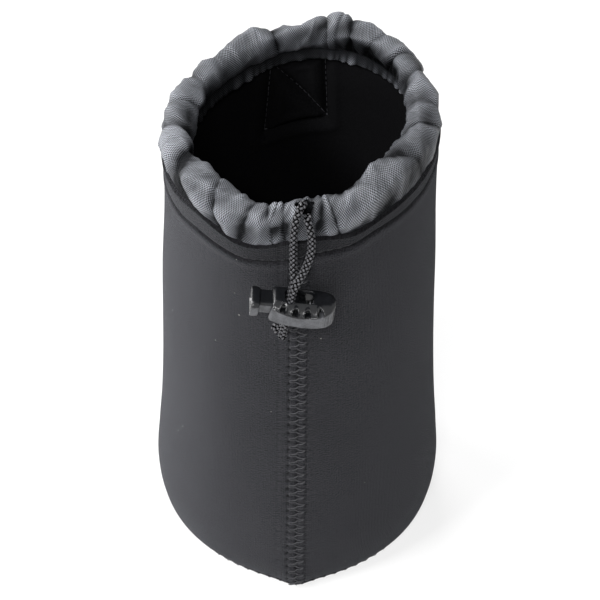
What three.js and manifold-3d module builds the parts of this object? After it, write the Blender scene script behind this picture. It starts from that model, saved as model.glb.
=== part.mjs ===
// Drawstring lens pouch: a rolled neoprene wall and round neoprene base, a gathered woven collar
// that holds a drawcord, a spring cord lock on the two cord ends, and a webbing belt loop behind.
// Millimetres, +Z up. The origin is the centre of the base's underside, the seam and the lock face -Y.

import * as THREE from 'three';
import { mergeVertices } from 'three/addons/utils/BufferGeometryUtils.js';
import Module from 'manifold-3d';

const wasm = await Module();
wasm.setup();

// Shared clearances
const clearance = 0.3;
const slidingClearance = 0.25;
const cutOverrun = 2;

// Neoprene wall
const wallThickness = 3.5;
const bodyHeight = 192;
const rimHalfWidth = 45.5;
const rimHalfDepth = 47.7;
const wallColumns = 48;
const rimSlant = 6;
// Rise of the soft rim round the body: degrees from the front, and height as a share of the slant
const rimRiseShares = [
  [-165, -0.25],
  [-150, -0.5],
  [-127, -0.7],
  [-105, -0.77],
  [-73, -0.7],
  [-58, -0.5],
  [-46, -0.27],
  [-36, -0.5],
  [-24, -0.87],
  [-17, -0.7],
  [-4, 0],
  [8, 0.3],
  [23, 0.1],
  [35, 0.55],
  [48, 0.8],
  [64, 0.93],
  [90, 1],
  [115, 0.93],
  [140, 0.73],
  [160, 0.47],
  [180, 0.1],
];
const frontRidge = 2;
const frontRidgeSpread = 0.3;
const frontRidgeTopShare = 0.7;
const frontRidgeFade = 1.5;
// Height above the base seam, half width and half depth, as shares of the body's sizes
const wallShares = [
  [0, 1.044, 0.972],
  [0.025, 1.112, 1.012],
  [0.06, 1.15, 1.032],
  [0.11, 1.169, 1.042],
  [0.2, 1.148, 1.047],
  [0.3, 1.114, 1.046],
  [0.42, 1.084, 1.036],
  [0.55, 1.062, 1.02],
  [0.7, 1.042, 1.01],
  [0.85, 1.012, 1.005],
  [1, 1, 1],
];

// Neoprene base and the rounded corner where it meets the wall
const baseRise = 2.2;
const baseTurnAngle = Math.PI / 4;
const baseTurnWidth = 4.6;
const baseTopInset = 1.2;

// Sewing thread
const threadRadius = 0.3;
const frontStitchPitch = 4;
const frontStitchHalfWidth = 3;
const frontStitchTopDrop = 10;
const frontStitchBottomShare = 0.03;
const baseStitchCount = 44;
const baseStitchWallShare = 0.012;
const baseStitchDiscShare = 0.5;
const ringStitchSteps = 48;
const boxStitchEndGap = 2.4;

// Gathered woven collar
const clothThickness = 0.8;
const collarColumns = 54;
const gatherCount = 12;
const gatherDrift = 0.09;
const gatherSharpness = 0.7;
const gatherDepthShare = 0.38;
const bulbRadius = 4.6;
const bulbRise = 6.5;
// Height of the channel's middle above the rim, as a share of its height at the front
const bulbRiseShares = [
  [-155, 1],
  [-130, 0.7],
  [-105, 1],
  [-80, 1.15],
  [-54, 1.08],
  [-37, 0.92],
  [-22, 1.2],
  [-8, 0.95],
  [8, 1.02],
  [22, 1.35],
  [45, 1.65],
  [61, 1.42],
  [90, 0.85],
  [115, 0.77],
  [140, 0.8],
  [155, 1.23],
  [168, 1.15],
  [180, 0.7],
];
const bulbLean = 1.4;
const collarHemDepth = 8;
const collarStitchDrop = 6.5;
const bulbSteps = 7;
const bulbStartAngle = -Math.PI / 3;
const bulbSweepAngle = 5 * Math.PI / 3;

// Slit in the collar's front where the cord comes out
const slitWidth = 7;
const slitCentre = 1.4;
const slitStartAngle = 0.35;
const slitEndAngle = 2.2;
const slitInnerShare = 0.66;
const slitOuterShare = 1.5;
const slitSteps = 6;

// Drawcord
const cordDiameter = 2.8;
const cordSides = 8;
const cordStepDiameters = 2;
const ringCordSteps = 44;
const ringCordEndAngle = 0.17;

// Cord lock: barrel, plunger and spring, in the lock's own axes (x along it, z along the cord)
const lockFromRim = [-2.95, -6.8, -22.1];
const lockTilt = THREE.MathUtils.degToRad(8.5);
const barrelHeight = 7.4;
const barrelLeft = 5.8;
const barrelRight = 14.8;
const barrelBack = 5;
const barrelFront = 5.4;
const barrelCornerWidth = 4;
// Front outline of the barrel: places along its right half and out to its front
const barrelFrontShares = {
  startOut: 0.88,
  bowAlong: 0.2,
  bowOut: 1.12,
  turnAlong: 0.68,
  turnOut: 0.93,
  endOut: 0.7,
};
const barrelDomeHeight = 2.6;
const barrelDomeInset = 1.8;
const barrelDomeSteps = 4;
const bandHeight = 3.1;
const bandProud = 0.45;
const bandBevel = 0.35;
const windowCount = 4;
const windowWidth = 1.8;
const windowHeight = 3.1;
const windowPitch = 4.1;
const windowFirst = -2.6;
const windowDepth = 1.7;
const windowArcSteps = 6;
const cordHoleLength = 9.3;
const plungerHalfDepth = 3.8;
const plungerHalfHeight = 2.5;
const plungerTip = 5.3;
const plungerLeft = 12.6;
const plungerHeadLength = 2.9;
const plungerHeadProud = 0.6;
const plungerTravel = 3.6;
const plungerRound = 0.7;
const plungerHeadRound = 1.4;
const roundSteps = 3;

// Lock spring
const springCurls = 6;
const springOuterRadius = 2.25;
const springWire = 0.45;
const springPocketEnd = 12.9;
const springStepsPerCurl = 8;
const springSides = 5;
const springPocketSides = 20;

// Belt loop
const loopWidth = 25;
const loopThickness = 1.5;
const loopColumns = 6;
const loopTopDrop = 7.6;
const loopUpperSeamEnd = 40;
const loopLowerSeamStart = 100;
const loopBottomDrop = 124;
const loopStandoff = 6.5;
const loopBendLength = 15;
const loopSeamInset = 3.3;
const upperSeamTopDrop = 10.4;
const stitchBoxSteps = 4;
const loopBendRows = 4;
const loopSeamRows = 3;

const TURN = 2 * Math.PI;
const BACK = Math.PI;
const sewnHeight = bodyHeight - baseRise;
const cordRadius = cordDiameter / 2;
const threadLift = clearance + threadRadius;

// Closed indexed solid whose faces point outwards
function solidGeometry(vertices, triangles) {
  const geometry = new THREE.BufferGeometry();
  const places = vertices.flatMap((vertex) => vertex.toArray());
  geometry.setAttribute('position', new THREE.Float32BufferAttribute(places, 3));
  const volume = triangles.reduce((sum, [a, b, c]) => {
    const cross = new THREE.Vector3().crossVectors(vertices[b], vertices[c]);
    return sum + vertices[a].dot(cross);
  }, 0);
  geometry.setIndex(triangles.flatMap(([a, b, c]) => (volume > 0 ? [a, b, c] : [a, c, b])));
  return geometry;
}

// A sheet between two grids of points, each grid[row][column]
function sheetSolid(face, back, wrap) {
  const rows = face.length;
  const columns = face[0].length;
  const spans = wrap ? columns : columns - 1;
  const at = (side, row, column) => (side * rows + row) * columns + (column % columns);
  const triangles = [];
  const quad = (a, b, c, d) => triangles.push([a, b, c], [a, c, d]);
  for (let column = 0; column < spans; column++) {
    for (let row = 0; row + 1 < rows; row++) {
      quad(at(0, row, column), at(0, row, column + 1), at(0, row + 1, column + 1), at(0, row + 1, column));
      quad(at(1, row, column), at(1, row + 1, column), at(1, row + 1, column + 1), at(1, row, column + 1));
    }
    quad(at(0, 0, column), at(1, 0, column), at(1, 0, column + 1), at(0, 0, column + 1));
    const last = rows - 1;
    quad(at(0, last, column), at(0, last, column + 1), at(1, last, column + 1), at(1, last, column));
  }
  if (!wrap) {
    const last = columns - 1;
    for (let row = 0; row + 1 < rows; row++) {
      quad(at(0, row, 0), at(0, row + 1, 0), at(1, row + 1, 0), at(1, row, 0));
      quad(at(0, row, last), at(1, row, last), at(1, row + 1, last), at(0, row + 1, last));
    }
  }
  return solidGeometry([...face.flat(), ...back.flat()], triangles);
}

// Rings of equal point counts joined in order, closed into a loop or capped at both ends
function loftSolid(rings, loop) {
  const size = rings[0].length;
  const triangles = [];
  const at = (ring, point) => (ring % rings.length) * size + (point % size);
  for (let ring = 0; ring < (loop ? rings.length : rings.length - 1); ring++) {
    for (let point = 0; point < size; point++) {
      const [a, b] = [at(ring, point), at(ring, point + 1)];
      const [c, d] = [at(ring + 1, point + 1), at(ring + 1, point)];
      triangles.push([a, b, c], [a, c, d]);
    }
  }
  for (let point = 1; !loop && point + 1 < size; point++) {
    triangles.push([at(0, 0), at(0, point + 1), at(0, point)]);
    const last = rings.length - 1;
    triangles.push([at(last, 0), at(last, point), at(last, point + 1)]);
  }
  return solidGeometry(rings.flat(), triangles);
}

// Round-ish strand through points, with the outward direction given at each point
function strandSolid(points, outwards, radius, sides, loop) {
  const count = points.length;
  const rings = points.map((point, i) => {
    const before = points[loop ? (i + count - 1) % count : Math.max(i - 1, 0)];
    const after = points[loop ? (i + 1) % count : Math.min(i + 1, count - 1)];
    const along = new THREE.Vector3().subVectors(after, before).normalize();
    const side = new THREE.Vector3().crossVectors(along, outwards[i]).normalize();
    const up = new THREE.Vector3().crossVectors(side, along);
    return Array.from({ length: sides }, (_, k) => {
      const angle = (k / sides) * TURN;
      return point.clone().addScaledVector(up, radius * Math.cos(angle))
        .addScaledVector(side, radius * Math.sin(angle));
    });
  });
  return loftSolid(rings, loop);
}

function toManifold(geometry) {
  const bare = geometry.clone();
  bare.deleteAttribute('normal');
  bare.deleteAttribute('uv');
  const merged = mergeVertices(bare);
  return new wasm.Manifold(new wasm.Mesh({
    numProp: 3,
    vertProperties: new Float32Array(merged.attributes.position.array),
    triVerts: new Uint32Array(merged.index.array),
  }));
}

function fromManifold(solid) {
  const mesh = solid.getMesh();
  const geometry = new THREE.BufferGeometry();
  geometry.setAttribute('position', new THREE.BufferAttribute(new Float32Array(mesh.vertProperties), 3));
  geometry.setIndex(new THREE.BufferAttribute(new Uint32Array(mesh.triVerts), 1));
  return geometry;
}

const group = new THREE.Group();

function material(color, roughness, metalness = 0) {
  return new THREE.MeshStandardMaterial({ color, roughness, metalness });
}

function addPiece(name, geometry, finish, parent = group) {
  const mesh = new THREE.Mesh(geometry, finish);
  mesh.name = name;
  parent.add(mesh);
  return mesh;
}

const jerseyNeoprene = material('#3a3a3d', 0.9);
const baseNeoprene = material('#343437', 0.92);
const wovenNylon = material('#55575c', 0.6);
const seamThread = material('#3c3b40', 0.7);
const braidedCord = material('#1c1c1e', 0.65);
const lockPlastic = material('#202124', 0.28);
const springSteel = material('#c9cacc', 0.3, 1);
const loopWebbing = material('#232326', 0.75);

// Smooth value round the body from a table of degrees and values, the last place joining the first
function roundTable(table, angle) {
  const degrees = THREE.MathUtils.radToDeg(Math.atan2(Math.sin(angle), Math.cos(angle)));
  const count = table.length;
  const found = table.findIndex(([place]) => place > degrees);
  const after = found < 0 ? count : found;
  const at = (i) => {
    const wrapped = (i + count) % count;
    return [table[wrapped][0] + 360 * Math.floor(i / count), table[wrapped][1]];
  };
  const [before, start, end, next] = [after - 2, after - 1, after, after + 1].map(at);
  const mix = (degrees - start[0]) / (end[0] - start[0]);
  const slopeIn = (end[1] - before[1]) / (end[0] - before[0]) * (end[0] - start[0]);
  const slopeOut = (next[1] - start[1]) / (next[0] - start[0]) * (end[0] - start[0]);
  return (2 * mix ** 3 - 3 * mix ** 2 + 1) * start[1] + (mix ** 3 - 2 * mix ** 2 + mix) * slopeIn
    + (3 * mix ** 2 - 2 * mix ** 3) * end[1] + (mix ** 3 - mix ** 2) * slopeOut;
}

// How far the soft rim stands above or below its nominal height
function rimRise(angle) {
  return rimSlant * roundTable(rimRiseShares, angle);
}

function wallSizes(share) {
  const above = wallShares.findIndex(([height], i) => i > 0 && height >= share);
  const upper = wallShares[above < 0 ? wallShares.length - 1 : above];
  const lower = wallShares[above < 0 ? wallShares.length - 2 : above - 1];
  const mix = (share - lower[0]) / (upper[0] - lower[0]);
  return {
    halfWidth: rimHalfWidth * THREE.MathUtils.lerp(lower[1], upper[1], mix),
    halfDepth: rimHalfDepth * THREE.MathUtils.lerp(lower[2], upper[2], mix),
  };
}

// Slope of the wall's side view: how much its outward direction faces out and up
const wallNormals = wallShares.map(([height], row) => {
  if (row === 0) return [Math.cos(baseTurnAngle), -Math.sin(baseTurnAngle)];
  const [below, above] = [wallShares[row - 1], wallShares[Math.min(row + 1, wallShares.length - 1)]];
  const rise = (above[0] - below[0]) * sewnHeight;
  const growth = ((above[1] - below[1]) * rimHalfWidth + (above[2] - below[2]) * rimHalfDepth) / 2;
  const length = Math.hypot(rise, growth);
  return [rise / length, -growth / length];
});

function wallNormal(share) {
  const above = Math.max(1, wallShares.findIndex(([height]) => height >= share));
  const mix = (share - wallShares[above - 1][0]) / (wallShares[above][0] - wallShares[above - 1][0]);
  return [0, 1].map((k) => THREE.MathUtils.lerp(wallNormals[above - 1][k], wallNormals[above][k], mix));
}

function frontRidgeAt(angle, share) {
  const fade = Math.max(0, 1 - share / frontRidgeTopShare) ** frontRidgeFade;
  const turn = Math.atan2(Math.sin(angle), Math.cos(angle));
  return frontRidge * fade * Math.exp(-((turn / frontRidgeSpread) ** 2));
}

// A point round the body: angle 0 is the front, positive angles turn to +X
function bodyPoint(angle, halfWidth, halfDepth, ridge, height) {
  return new THREE.Vector3(halfWidth * Math.sin(angle), -halfDepth * Math.cos(angle) - ridge, height);
}

// A point on the wall, inwards of its outer face by depth; a negative depth lies outside
function wallPoint(angle, share, depth) {
  const { halfWidth, halfDepth } = wallSizes(share);
  const [out, up] = wallNormal(share);
  const height = baseRise + share * sewnHeight + rimRise(angle) * share * share;
  const inset = depth * out;
  const ridge = frontRidgeAt(angle, share);
  return bodyPoint(angle, halfWidth - inset, halfDepth - inset, ridge, height - depth * up);
}

function outwardAt(angle) {
  return new THREE.Vector3(Math.sin(angle), -Math.cos(angle), 0);
}

// Share of the wall's height that lies this far below the rim
function shareBelowRim(drop) {
  return 1 - drop / sewnHeight;
}

const angleSteps = (count) => Array.from({ length: count }, (_, i) => (i / count) * TURN);

// Wall: one neoprene sheet rolled round, its two edges butted at the front
function bodyWall() {
  const seamAngle = clearance / 2 / (rimHalfDepth - wallThickness);
  const angles = Array.from({ length: wallColumns + 1 }, (_, i) => (
    seamAngle + (i / wallColumns) * (TURN - 2 * seamAngle)));
  const row = (share, depth) => angles.map((angle) => wallPoint(angle, share, depth));
  const face = (depth) => wallShares.map(([share]) => row(share, depth));
  return sheetSolid(face(0), face(wallThickness), false);
}

// Point on the base's upturned edge, at the seam with the wall
function baseEdge(angle, depth) {
  const point = wallPoint(angle, 0, depth);
  const inwards = outwardAt(angle).multiplyScalar(-clearance * Math.sin(baseTurnAngle));
  point.add(inwards);
  point.z -= clearance * Math.cos(baseTurnAngle);
  return point;
}

function baseFlat(angle, inset, height) {
  const { halfWidth, halfDepth } = wallSizes(0);
  return bodyPoint(angle, halfWidth - inset, halfDepth - inset, 0, height);
}

// Base: a neoprene disc whose edge turns up to meet the wall
function baseDisc() {
  const angles = angleSteps(wallColumns);
  const topInset = baseTurnWidth + baseTopInset;
  return loftSolid([
    angles.map((angle) => baseFlat(angle, baseTurnWidth, 0)),
    angles.map((angle) => baseEdge(angle, 0)),
    angles.map((angle) => baseEdge(angle, wallThickness)),
    angles.map((angle) => baseFlat(angle, topInset, wallThickness)),
  ], false);
}

// Zigzag thread over the butted front seam
function frontSeamThread() {
  const points = [];
  const outwards = [];
  const bottom = frontStitchBottomShare * sewnHeight;
  const strokes = Math.floor((sewnHeight - frontStitchTopDrop - bottom) / (frontStitchPitch / 2));
  for (let stroke = 0; stroke <= strokes; stroke++) {
    const drop = frontStitchTopDrop + stroke * (frontStitchPitch / 2);
    const share = shareBelowRim(drop);
    const side = stroke % 2 ? 1 : -1;
    const angle = side * (frontStitchHalfWidth / wallSizes(share).halfDepth);
    points.push(wallPoint(angle, share, -threadLift));
    outwards.push(outwardAt(angle));
  }
  return strandSolid(points, outwards, threadRadius, 3, false);
}

// Zigzag thread over the seam between wall and base
function baseSeamThread() {
  const points = [];
  const outwards = [];
  const seamOut = (angle) => outwardAt(angle).multiplyScalar(Math.cos(baseTurnAngle))
    .setZ(-Math.sin(baseTurnAngle));
  const onDisc = (angle) => baseFlat(angle, baseTurnWidth, 0)
    .lerp(baseEdge(angle, 0), baseStitchDiscShare).addScaledVector(seamOut(angle), threadLift);
  const onSeam = (angle) => wallPoint(angle, 0, -threadLift);
  const onWall = (angle) => wallPoint(angle, baseStitchWallShare, -threadLift);
  const stops = [onDisc, onSeam, onWall, onSeam];
  for (let step = 0; step < baseStitchCount * stops.length; step++) {
    const angle = (step / (baseStitchCount * stops.length)) * TURN;
    points.push(stops[step % stops.length](angle));
    outwards.push(seamOut(angle));
  }
  return strandSolid(points, outwards, threadRadius, 3, true);
}

// 0 in a gather's crease, 1 on the crown of a puff; crowns lie at the front slit and at the back
function puff(angle) {
  const phase = (gatherCount / 2) * (angle + gatherDrift * Math.sin(2 * angle));
  return Math.abs(Math.cos(phase)) ** gatherSharpness;
}

// Middle of the collar's round channel, measured out from the wall's inner face and up from the rim
function bulbCentre(angle) {
  return { out: -bulbLean, up: bulbRise * roundTable(bulbRiseShares, angle) };
}

function collarPoint(angle, out, up) {
  const halfWidth = rimHalfWidth - wallThickness + out;
  const halfDepth = rimHalfDepth - wallThickness + out;
  return bodyPoint(angle, halfWidth, halfDepth, 0, bodyHeight + rimRise(angle) + up);
}

// Side view of the collar's cloth: up the wall's inside, round the channel and down to the hem
function collarProfile(angle) {
  const outerLeg = -clearance - clothThickness / 2;
  const innerLeg = outerLeg - clothThickness - clearance;
  const centre = bulbCentre(angle);
  const radius = bulbRadius * (1 - gatherDepthShare * (1 - puff(angle)));
  const points = [[outerLeg, -collarHemDepth], [outerLeg, clothThickness / 2]];
  for (let step = 0; step < bulbSteps; step++) {
    const turn = bulbStartAngle + (step / (bulbSteps - 1)) * bulbSweepAngle;
    points.push([centre.out + radius * Math.cos(turn), centre.up + radius * Math.sin(turn)]);
  }
  points.push([innerLeg, clothThickness / 2], [innerLeg, -collarHemDepth]);
  return points;
}

// Cloth faces on both sides of the profile's middle line
function offsetProfile(points, distance) {
  return points.map(([out, up], i) => {
    const before = points[Math.max(i - 1, 0)];
    const after = points[Math.min(i + 1, points.length - 1)];
    const length = Math.hypot(after[0] - before[0], after[1] - before[1]);
    const normal = [(after[1] - before[1]) / length, -(after[0] - before[0]) / length];
    return [out + distance * normal[0], up + distance * normal[1]];
  });
}

function collarSheet() {
  const angles = angleSteps(collarColumns);
  const face = (distance) => {
    const columns = angles.map((angle) => offsetProfile(collarProfile(angle), distance)
      .map(([out, up]) => collarPoint(angle, out, up)));
    return columns[0].map((_, row) => columns.map((column) => column[row]));
  };
  return sheetSolid(face(clothThickness / 2), face(-clothThickness / 2), true);
}

// Curved cutter for the slit: a piece of ring round the channel's middle, as wide as the slit
function slitCutter() {
  const centre = bulbCentre(0);
  const inner = bulbRadius * slitInnerShare;
  const outer = bulbRadius * slitOuterShare;
  const outline = new THREE.Shape();
  outline.absarc(0, 0, outer, slitStartAngle, slitEndAngle, false);
  outline.absarc(0, 0, inner, slitEndAngle, slitStartAngle, true);
  const cutter = new THREE.ExtrudeGeometry(outline, {
    depth: slitWidth, bevelEnabled: false, curveSegments: slitSteps,
  });
  const towardsFront = new THREE.Matrix4().makeBasis(
    new THREE.Vector3(0, -1, 0), new THREE.Vector3(0, 0, 1), new THREE.Vector3(-1, 0, 0));
  cutter.applyMatrix4(towardsFront);
  const seat = collarPoint(0, centre.out, centre.up);
  cutter.translate(slitCentre + slitWidth / 2, seat.y, seat.z);
  return cutter;
}

function collar() {
  return fromManifold(toManifold(collarSheet()).subtract(toManifold(slitCutter())));
}

// One row of thread round the rim, at a given side of the wall
function ringStitch(pointAt, facing) {
  const angles = angleSteps(ringStitchSteps);
  const outwards = angles.map((angle) => outwardAt(angle).multiplyScalar(facing));
  return strandSolid(angles.map(pointAt), outwards, threadRadius, 3, true);
}

function collarStitchOutside() {
  const share = shareBelowRim(collarStitchDrop);
  return ringStitch((angle) => wallPoint(angle, share, -threadLift), 1);
}

function collarStitchInside() {
  const innerLeg = -2 * clearance - 2 * clothThickness;
  return ringStitch((angle) => collarPoint(angle, innerLeg - threadLift, -collarStitchDrop), -1);
}

function roundSection(radius, sides) {
  return new THREE.Shape(Array.from({ length: sides }, (_, i) => {
    const angle = (i / sides) * TURN;
    return new THREE.Vector2(radius * Math.cos(angle), radius * Math.sin(angle));
  }));
}

function cordSolid(curve, steps) {
  return new THREE.ExtrudeGeometry(roundSection(cordRadius, cordSides), {
    steps, bevelEnabled: false, extrudePath: curve,
  });
}

// A place given from the front of the rim: across, back and up
function fromRim([across, back, up]) {
  return new THREE.Vector3(across, back - rimHalfDepth, up + bodyHeight);
}

// Where the cord's two ends stop inside the slit, and where its free strands go on from there
const leftCordEnd = [
  [0.3, 5.7, 10.3],
  [-1.2, 5.6, 8.3],
  [-3.5, 5.2, 7.1],
];
const rightCordEnd = [
  [2.9, 2.1, 10],
  [3.4, 3.8, 9],
  [5.2, 4.8, 8.1],
];

// Drawcord inside the collar: right round the channel, both ends turned out at the slit
function drawcordRing() {
  const points = leftCordEnd.map(fromRim);
  const first = -ringCordEndAngle;
  const sweep = TURN - 2 * ringCordEndAngle;
  const stops = ringCordSteps / 2;
  for (let stop = 0; stop <= stops; stop++) {
    const angle = first - (stop / stops) * sweep;
    const centre = bulbCentre(angle);
    points.push(collarPoint(angle, centre.out, centre.up));
  }
  points.push(...[...rightCordEnd].reverse().map(fromRim));
  return cordSolid(new THREE.CatmullRomCurve3(points), ringCordSteps + 2 * leftCordEnd.length);
}

// Free cord ends: out of the slit, over the collar, down through the lock and out below it
const leftCordRoute = [
  [0.75, 5.7, 10.9],
  [1.2, 5.2, 12.2],
  [1.1, 3.9, 13.6],
  [0.5, 2.2, 14],
  [-0.4, 0.5, 13.1],
  [-1.2, -1.2, 10.9],
  [-1.6, -2.1, 7.4],
  [-1.75, -2.6, 3.1],
  [-1.8, -3.1, -3.8],
  [-1.75, -4.2, -8.6],
  [-1.5, -5.1, -12.4],
  [-2.4, -5.25, -18.4],
  [-2.95, -5.25, -22.1],
  [-3.5, -5.25, -25.8],
  [-4.1, -5.1, -29.4],
  [-5.7, -4.4, -34],
  [-7.7, -3.8, -38],
];
const rightCordRoute = [
  [2.8, 1.75, 10.2],
  [2.6, 0.4, 10.6],
  [3, -1.2, 9.8],
  [3.6, -2.4, 7],
  [3.95, -2.9, 3.7],
  [3.8, -3.7, -0.2],
  [2.8, -5, -4.2],
  [1.1, -6.7, -7.8],
  [-0.5, -8, -10.8],
  [-1.55, -8.35, -13.2],
  [-2.4, -8.35, -18.4],
  [-2.95, -8.35, -22.1],
  [-3.5, -8.35, -25.8],
  [-4, -8.25, -29.2],
  [-4.7, -7.9, -33.5],
  [-5.3, -7.5, -37.6],
];

function freeCord(route) {
  const curve = new THREE.CatmullRomCurve3(route.map(fromRim));
  return cordSolid(curve, Math.round(curve.getLength() / (cordStepDiameters * cordRadius)));
}

// Plan of the barrel: straight at the back, bowed at the front, rounded at the closed right end
function barrelPlan(proud) {
  const left = -barrelLeft - cutOverrun;
  const right = barrelRight + proud;
  const back = barrelBack + (proud > 0 ? bandBevel : 0);
  const front = -barrelFront - proud;
  const plan = new THREE.Shape();
  plan.moveTo(left, back);
  const { startOut, bowAlong, bowOut, turnAlong, turnOut, endOut } = barrelFrontShares;
  plan.lineTo(left, front * startOut);
  plan.quadraticCurveTo(right * bowAlong, front * bowOut, right * turnAlong, front * turnOut);
  plan.quadraticCurveTo(right, front * endOut, right, 0);
  plan.quadraticCurveTo(right, back, right - barrelCornerWidth, back);
  return plan;
}

function extrudedUp(shape, height, bottom, bevel) {
  const { drop = 0, inset = 0, steps = 1 } = bevel;
  const solid = new THREE.ExtrudeGeometry(shape, {
    depth: height - 2 * drop,
    bevelEnabled: drop > 0,
    bevelThickness: drop,
    bevelSize: inset,
    bevelOffset: -inset,
    bevelSegments: steps,
    curveSegments: roundSteps * 2,
  });
  solid.translate(0, 0, bottom + drop);
  return toManifold(solid);
}

function blockBetween(low, high) {
  const size = new THREE.Vector3().subVectors(high, low);
  const block = new THREE.BoxGeometry(size.x, size.y, size.z);
  const middle = new THREE.Vector3().addVectors(low, high).multiplyScalar(0.5);
  return toManifold(block.translate(middle.x, middle.y, middle.z));
}

const cordGapHalfWidth = cordRadius + clearance;
const cordGapHalfDepth = cordDiameter + clearance / 2 + clearance;
const lockFloor = -barrelHeight / 2;

// Slot with square sides and small rounded corners, seen along the cord
function roundedPlan(left, right, halfDepth, corner) {
  const plan = new THREE.Shape();
  plan.absarc(right - corner, halfDepth - corner, corner, 0, Math.PI / 2, false);
  plan.absarc(left + corner, halfDepth - corner, corner, Math.PI / 2, Math.PI, false);
  plan.absarc(left + corner, corner - halfDepth, corner, Math.PI, 1.5 * Math.PI, false);
  plan.absarc(right - corner, corner - halfDepth, corner, 1.5 * Math.PI, TURN, false);
  return plan;
}

function archedWindow(centre) {
  const outline = new THREE.Shape();
  const round = windowWidth / 2;
  outline.moveTo(centre - round, 0);
  outline.lineTo(centre + round, 0);
  outline.absarc(centre, windowHeight - round, round, 0, Math.PI, false);
  const window = new THREE.ExtrudeGeometry(outline, {
    depth: windowDepth + cutOverrun, bevelEnabled: false, curveSegments: windowArcSteps,
  });
  window.rotateX(Math.PI / 2);
  window.translate(0, windowDepth - barrelFront, lockFloor + bandHeight);
  return toManifold(window);
}

// Barrel: the moulded shell of the lock, with the cord hole through it and four arched windows
function lockBarrel() {
  const dome = { drop: barrelDomeHeight, inset: barrelDomeInset, steps: barrelDomeSteps };
  const bandEdge = { drop: bandBevel, inset: bandBevel };
  const boreHalfDepth = plungerHalfDepth + slidingClearance;
  const boreHalfHeight = plungerHalfHeight + slidingClearance;
  const boreEnd = plungerTip + plungerTravel + clearance;
  const pocket = new THREE.CylinderGeometry(springOuterRadius + clearance, springOuterRadius + clearance,
    springPocketEnd, springPocketSides).rotateZ(Math.PI / 2).translate(springPocketEnd / 2, 0, 0);
  const holeRight = cordHoleLength - cordGapHalfWidth;
  const hole = roundedPlan(-cordGapHalfWidth, holeRight, cordGapHalfDepth, cordRadius);
  let barrel = extrudedUp(barrelPlan(0), barrelHeight, lockFloor, dome)
    .add(extrudedUp(barrelPlan(bandProud), bandHeight, lockFloor, bandEdge));
  const far = barrelLeft + barrelRight;
  const cuts = [
    blockBetween(new THREE.Vector3(-far, -far, -far), new THREE.Vector3(-barrelLeft, far, far)),
    blockBetween(new THREE.Vector3(-far, -boreHalfDepth, -boreHalfHeight),
      new THREE.Vector3(boreEnd, boreHalfDepth, boreHalfHeight)),
    toManifold(pocket),
    extrudedUp(hole, barrelHeight + 2 * cutOverrun, lockFloor - cutOverrun, {}),
  ];
  for (let i = 0; i < windowCount; i++) {
    cuts.push(archedWindow(windowFirst + i * windowPitch));
  }
  for (const cut of cuts) barrel = barrel.subtract(cut);
  return fromManifold(barrel);
}

// Plunger: a stem that slides in the barrel, with its own cord hole and a thumb end
function lockPlunger() {
  const stemRound = { drop: plungerRound / 2, inset: plungerRound / 2 };
  const headHalfDepth = plungerHalfDepth + plungerHeadProud;
  const headHalfHeight = plungerHalfHeight + plungerHeadProud;
  const headRound = { drop: plungerRound, inset: plungerRound, steps: roundSteps };
  const stem = roundedPlan(-plungerLeft + plungerRound, plungerTip, plungerHalfDepth, plungerRound);
  const head = roundedPlan(-plungerLeft, -plungerLeft + plungerHeadLength, headHalfDepth, plungerHeadRound);
  const gripLeft = -cordGapHalfWidth - plungerTravel - clearance;
  const hole = roundedPlan(gripLeft, cordGapHalfWidth, cordGapHalfDepth, cordRadius);
  const plunger = extrudedUp(stem, 2 * plungerHalfHeight, -plungerHalfHeight, stemRound)
    .add(extrudedUp(head, 2 * headHalfHeight, -headHalfHeight, headRound))
    .subtract(extrudedUp(hole, 2 * headHalfHeight + cutOverrun, -headHalfHeight - cutOverrun / 2, {}));
  return fromManifold(plunger);
}

// Spring: one unbroken helix between the plunger's tip and the barrel's closed end
function lockSpring() {
  const wireRadius = springWire / 2;
  const start = plungerTip + clearance + wireRadius;
  const end = springPocketEnd - clearance - wireRadius;
  const coilRadius = springOuterRadius - wireRadius;
  const steps = springCurls * springStepsPerCurl;
  const points = [];
  const outwards = [];
  for (let step = 0; step <= steps; step++) {
    const turn = (step / springStepsPerCurl) * TURN;
    const outward = new THREE.Vector3(0, Math.cos(turn), Math.sin(turn));
    outwards.push(outward);
    points.push(new THREE.Vector3(start + (step / steps) * (end - start), 0, 0)
      .addScaledVector(outward, coilRadius));
  }
  let leastGap = Infinity;
  for (let i = 0; i < points.length; i++) {
    for (let j = i + springStepsPerCurl / 2; j < points.length; j++) {
      leastGap = Math.min(leastGap, points[i].distanceTo(points[j]) - springWire);
    }
  }
  console.log(`lock_spring: least gap between curls ${leastGap.toFixed(2)} mm`);
  return strandSolid(points, outwards, wireRadius, springSides, false);
}

// Belt loop: how far its inner face stands off the wall, from 0 where sewn to 1 where free
function loopFree(drop) {
  const opening = (drop - loopUpperSeamEnd) / loopBendLength;
  const closing = (loopLowerSeamStart - drop) / loopBendLength;
  return THREE.MathUtils.smoothstep(Math.min(opening, closing), 0, 1);
}

// A point on the loop: across its width, down from the rim, and out from its inner face
function loopPoint(across, drop, out) {
  const middle = shareBelowRim((loopUpperSeamEnd + loopLowerSeamStart) / 2);
  const angle = BACK - across / rimHalfDepth;
  const sewn = wallPoint(angle, shareBelowRim(drop), -clearance - out);
  const flatDepth = wallSizes(middle).halfDepth + clearance + loopStandoff + out;
  const free = new THREE.Vector3(across, flatDepth, sewn.z);
  return sewn.lerp(free, loopFree(drop));
}

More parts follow.
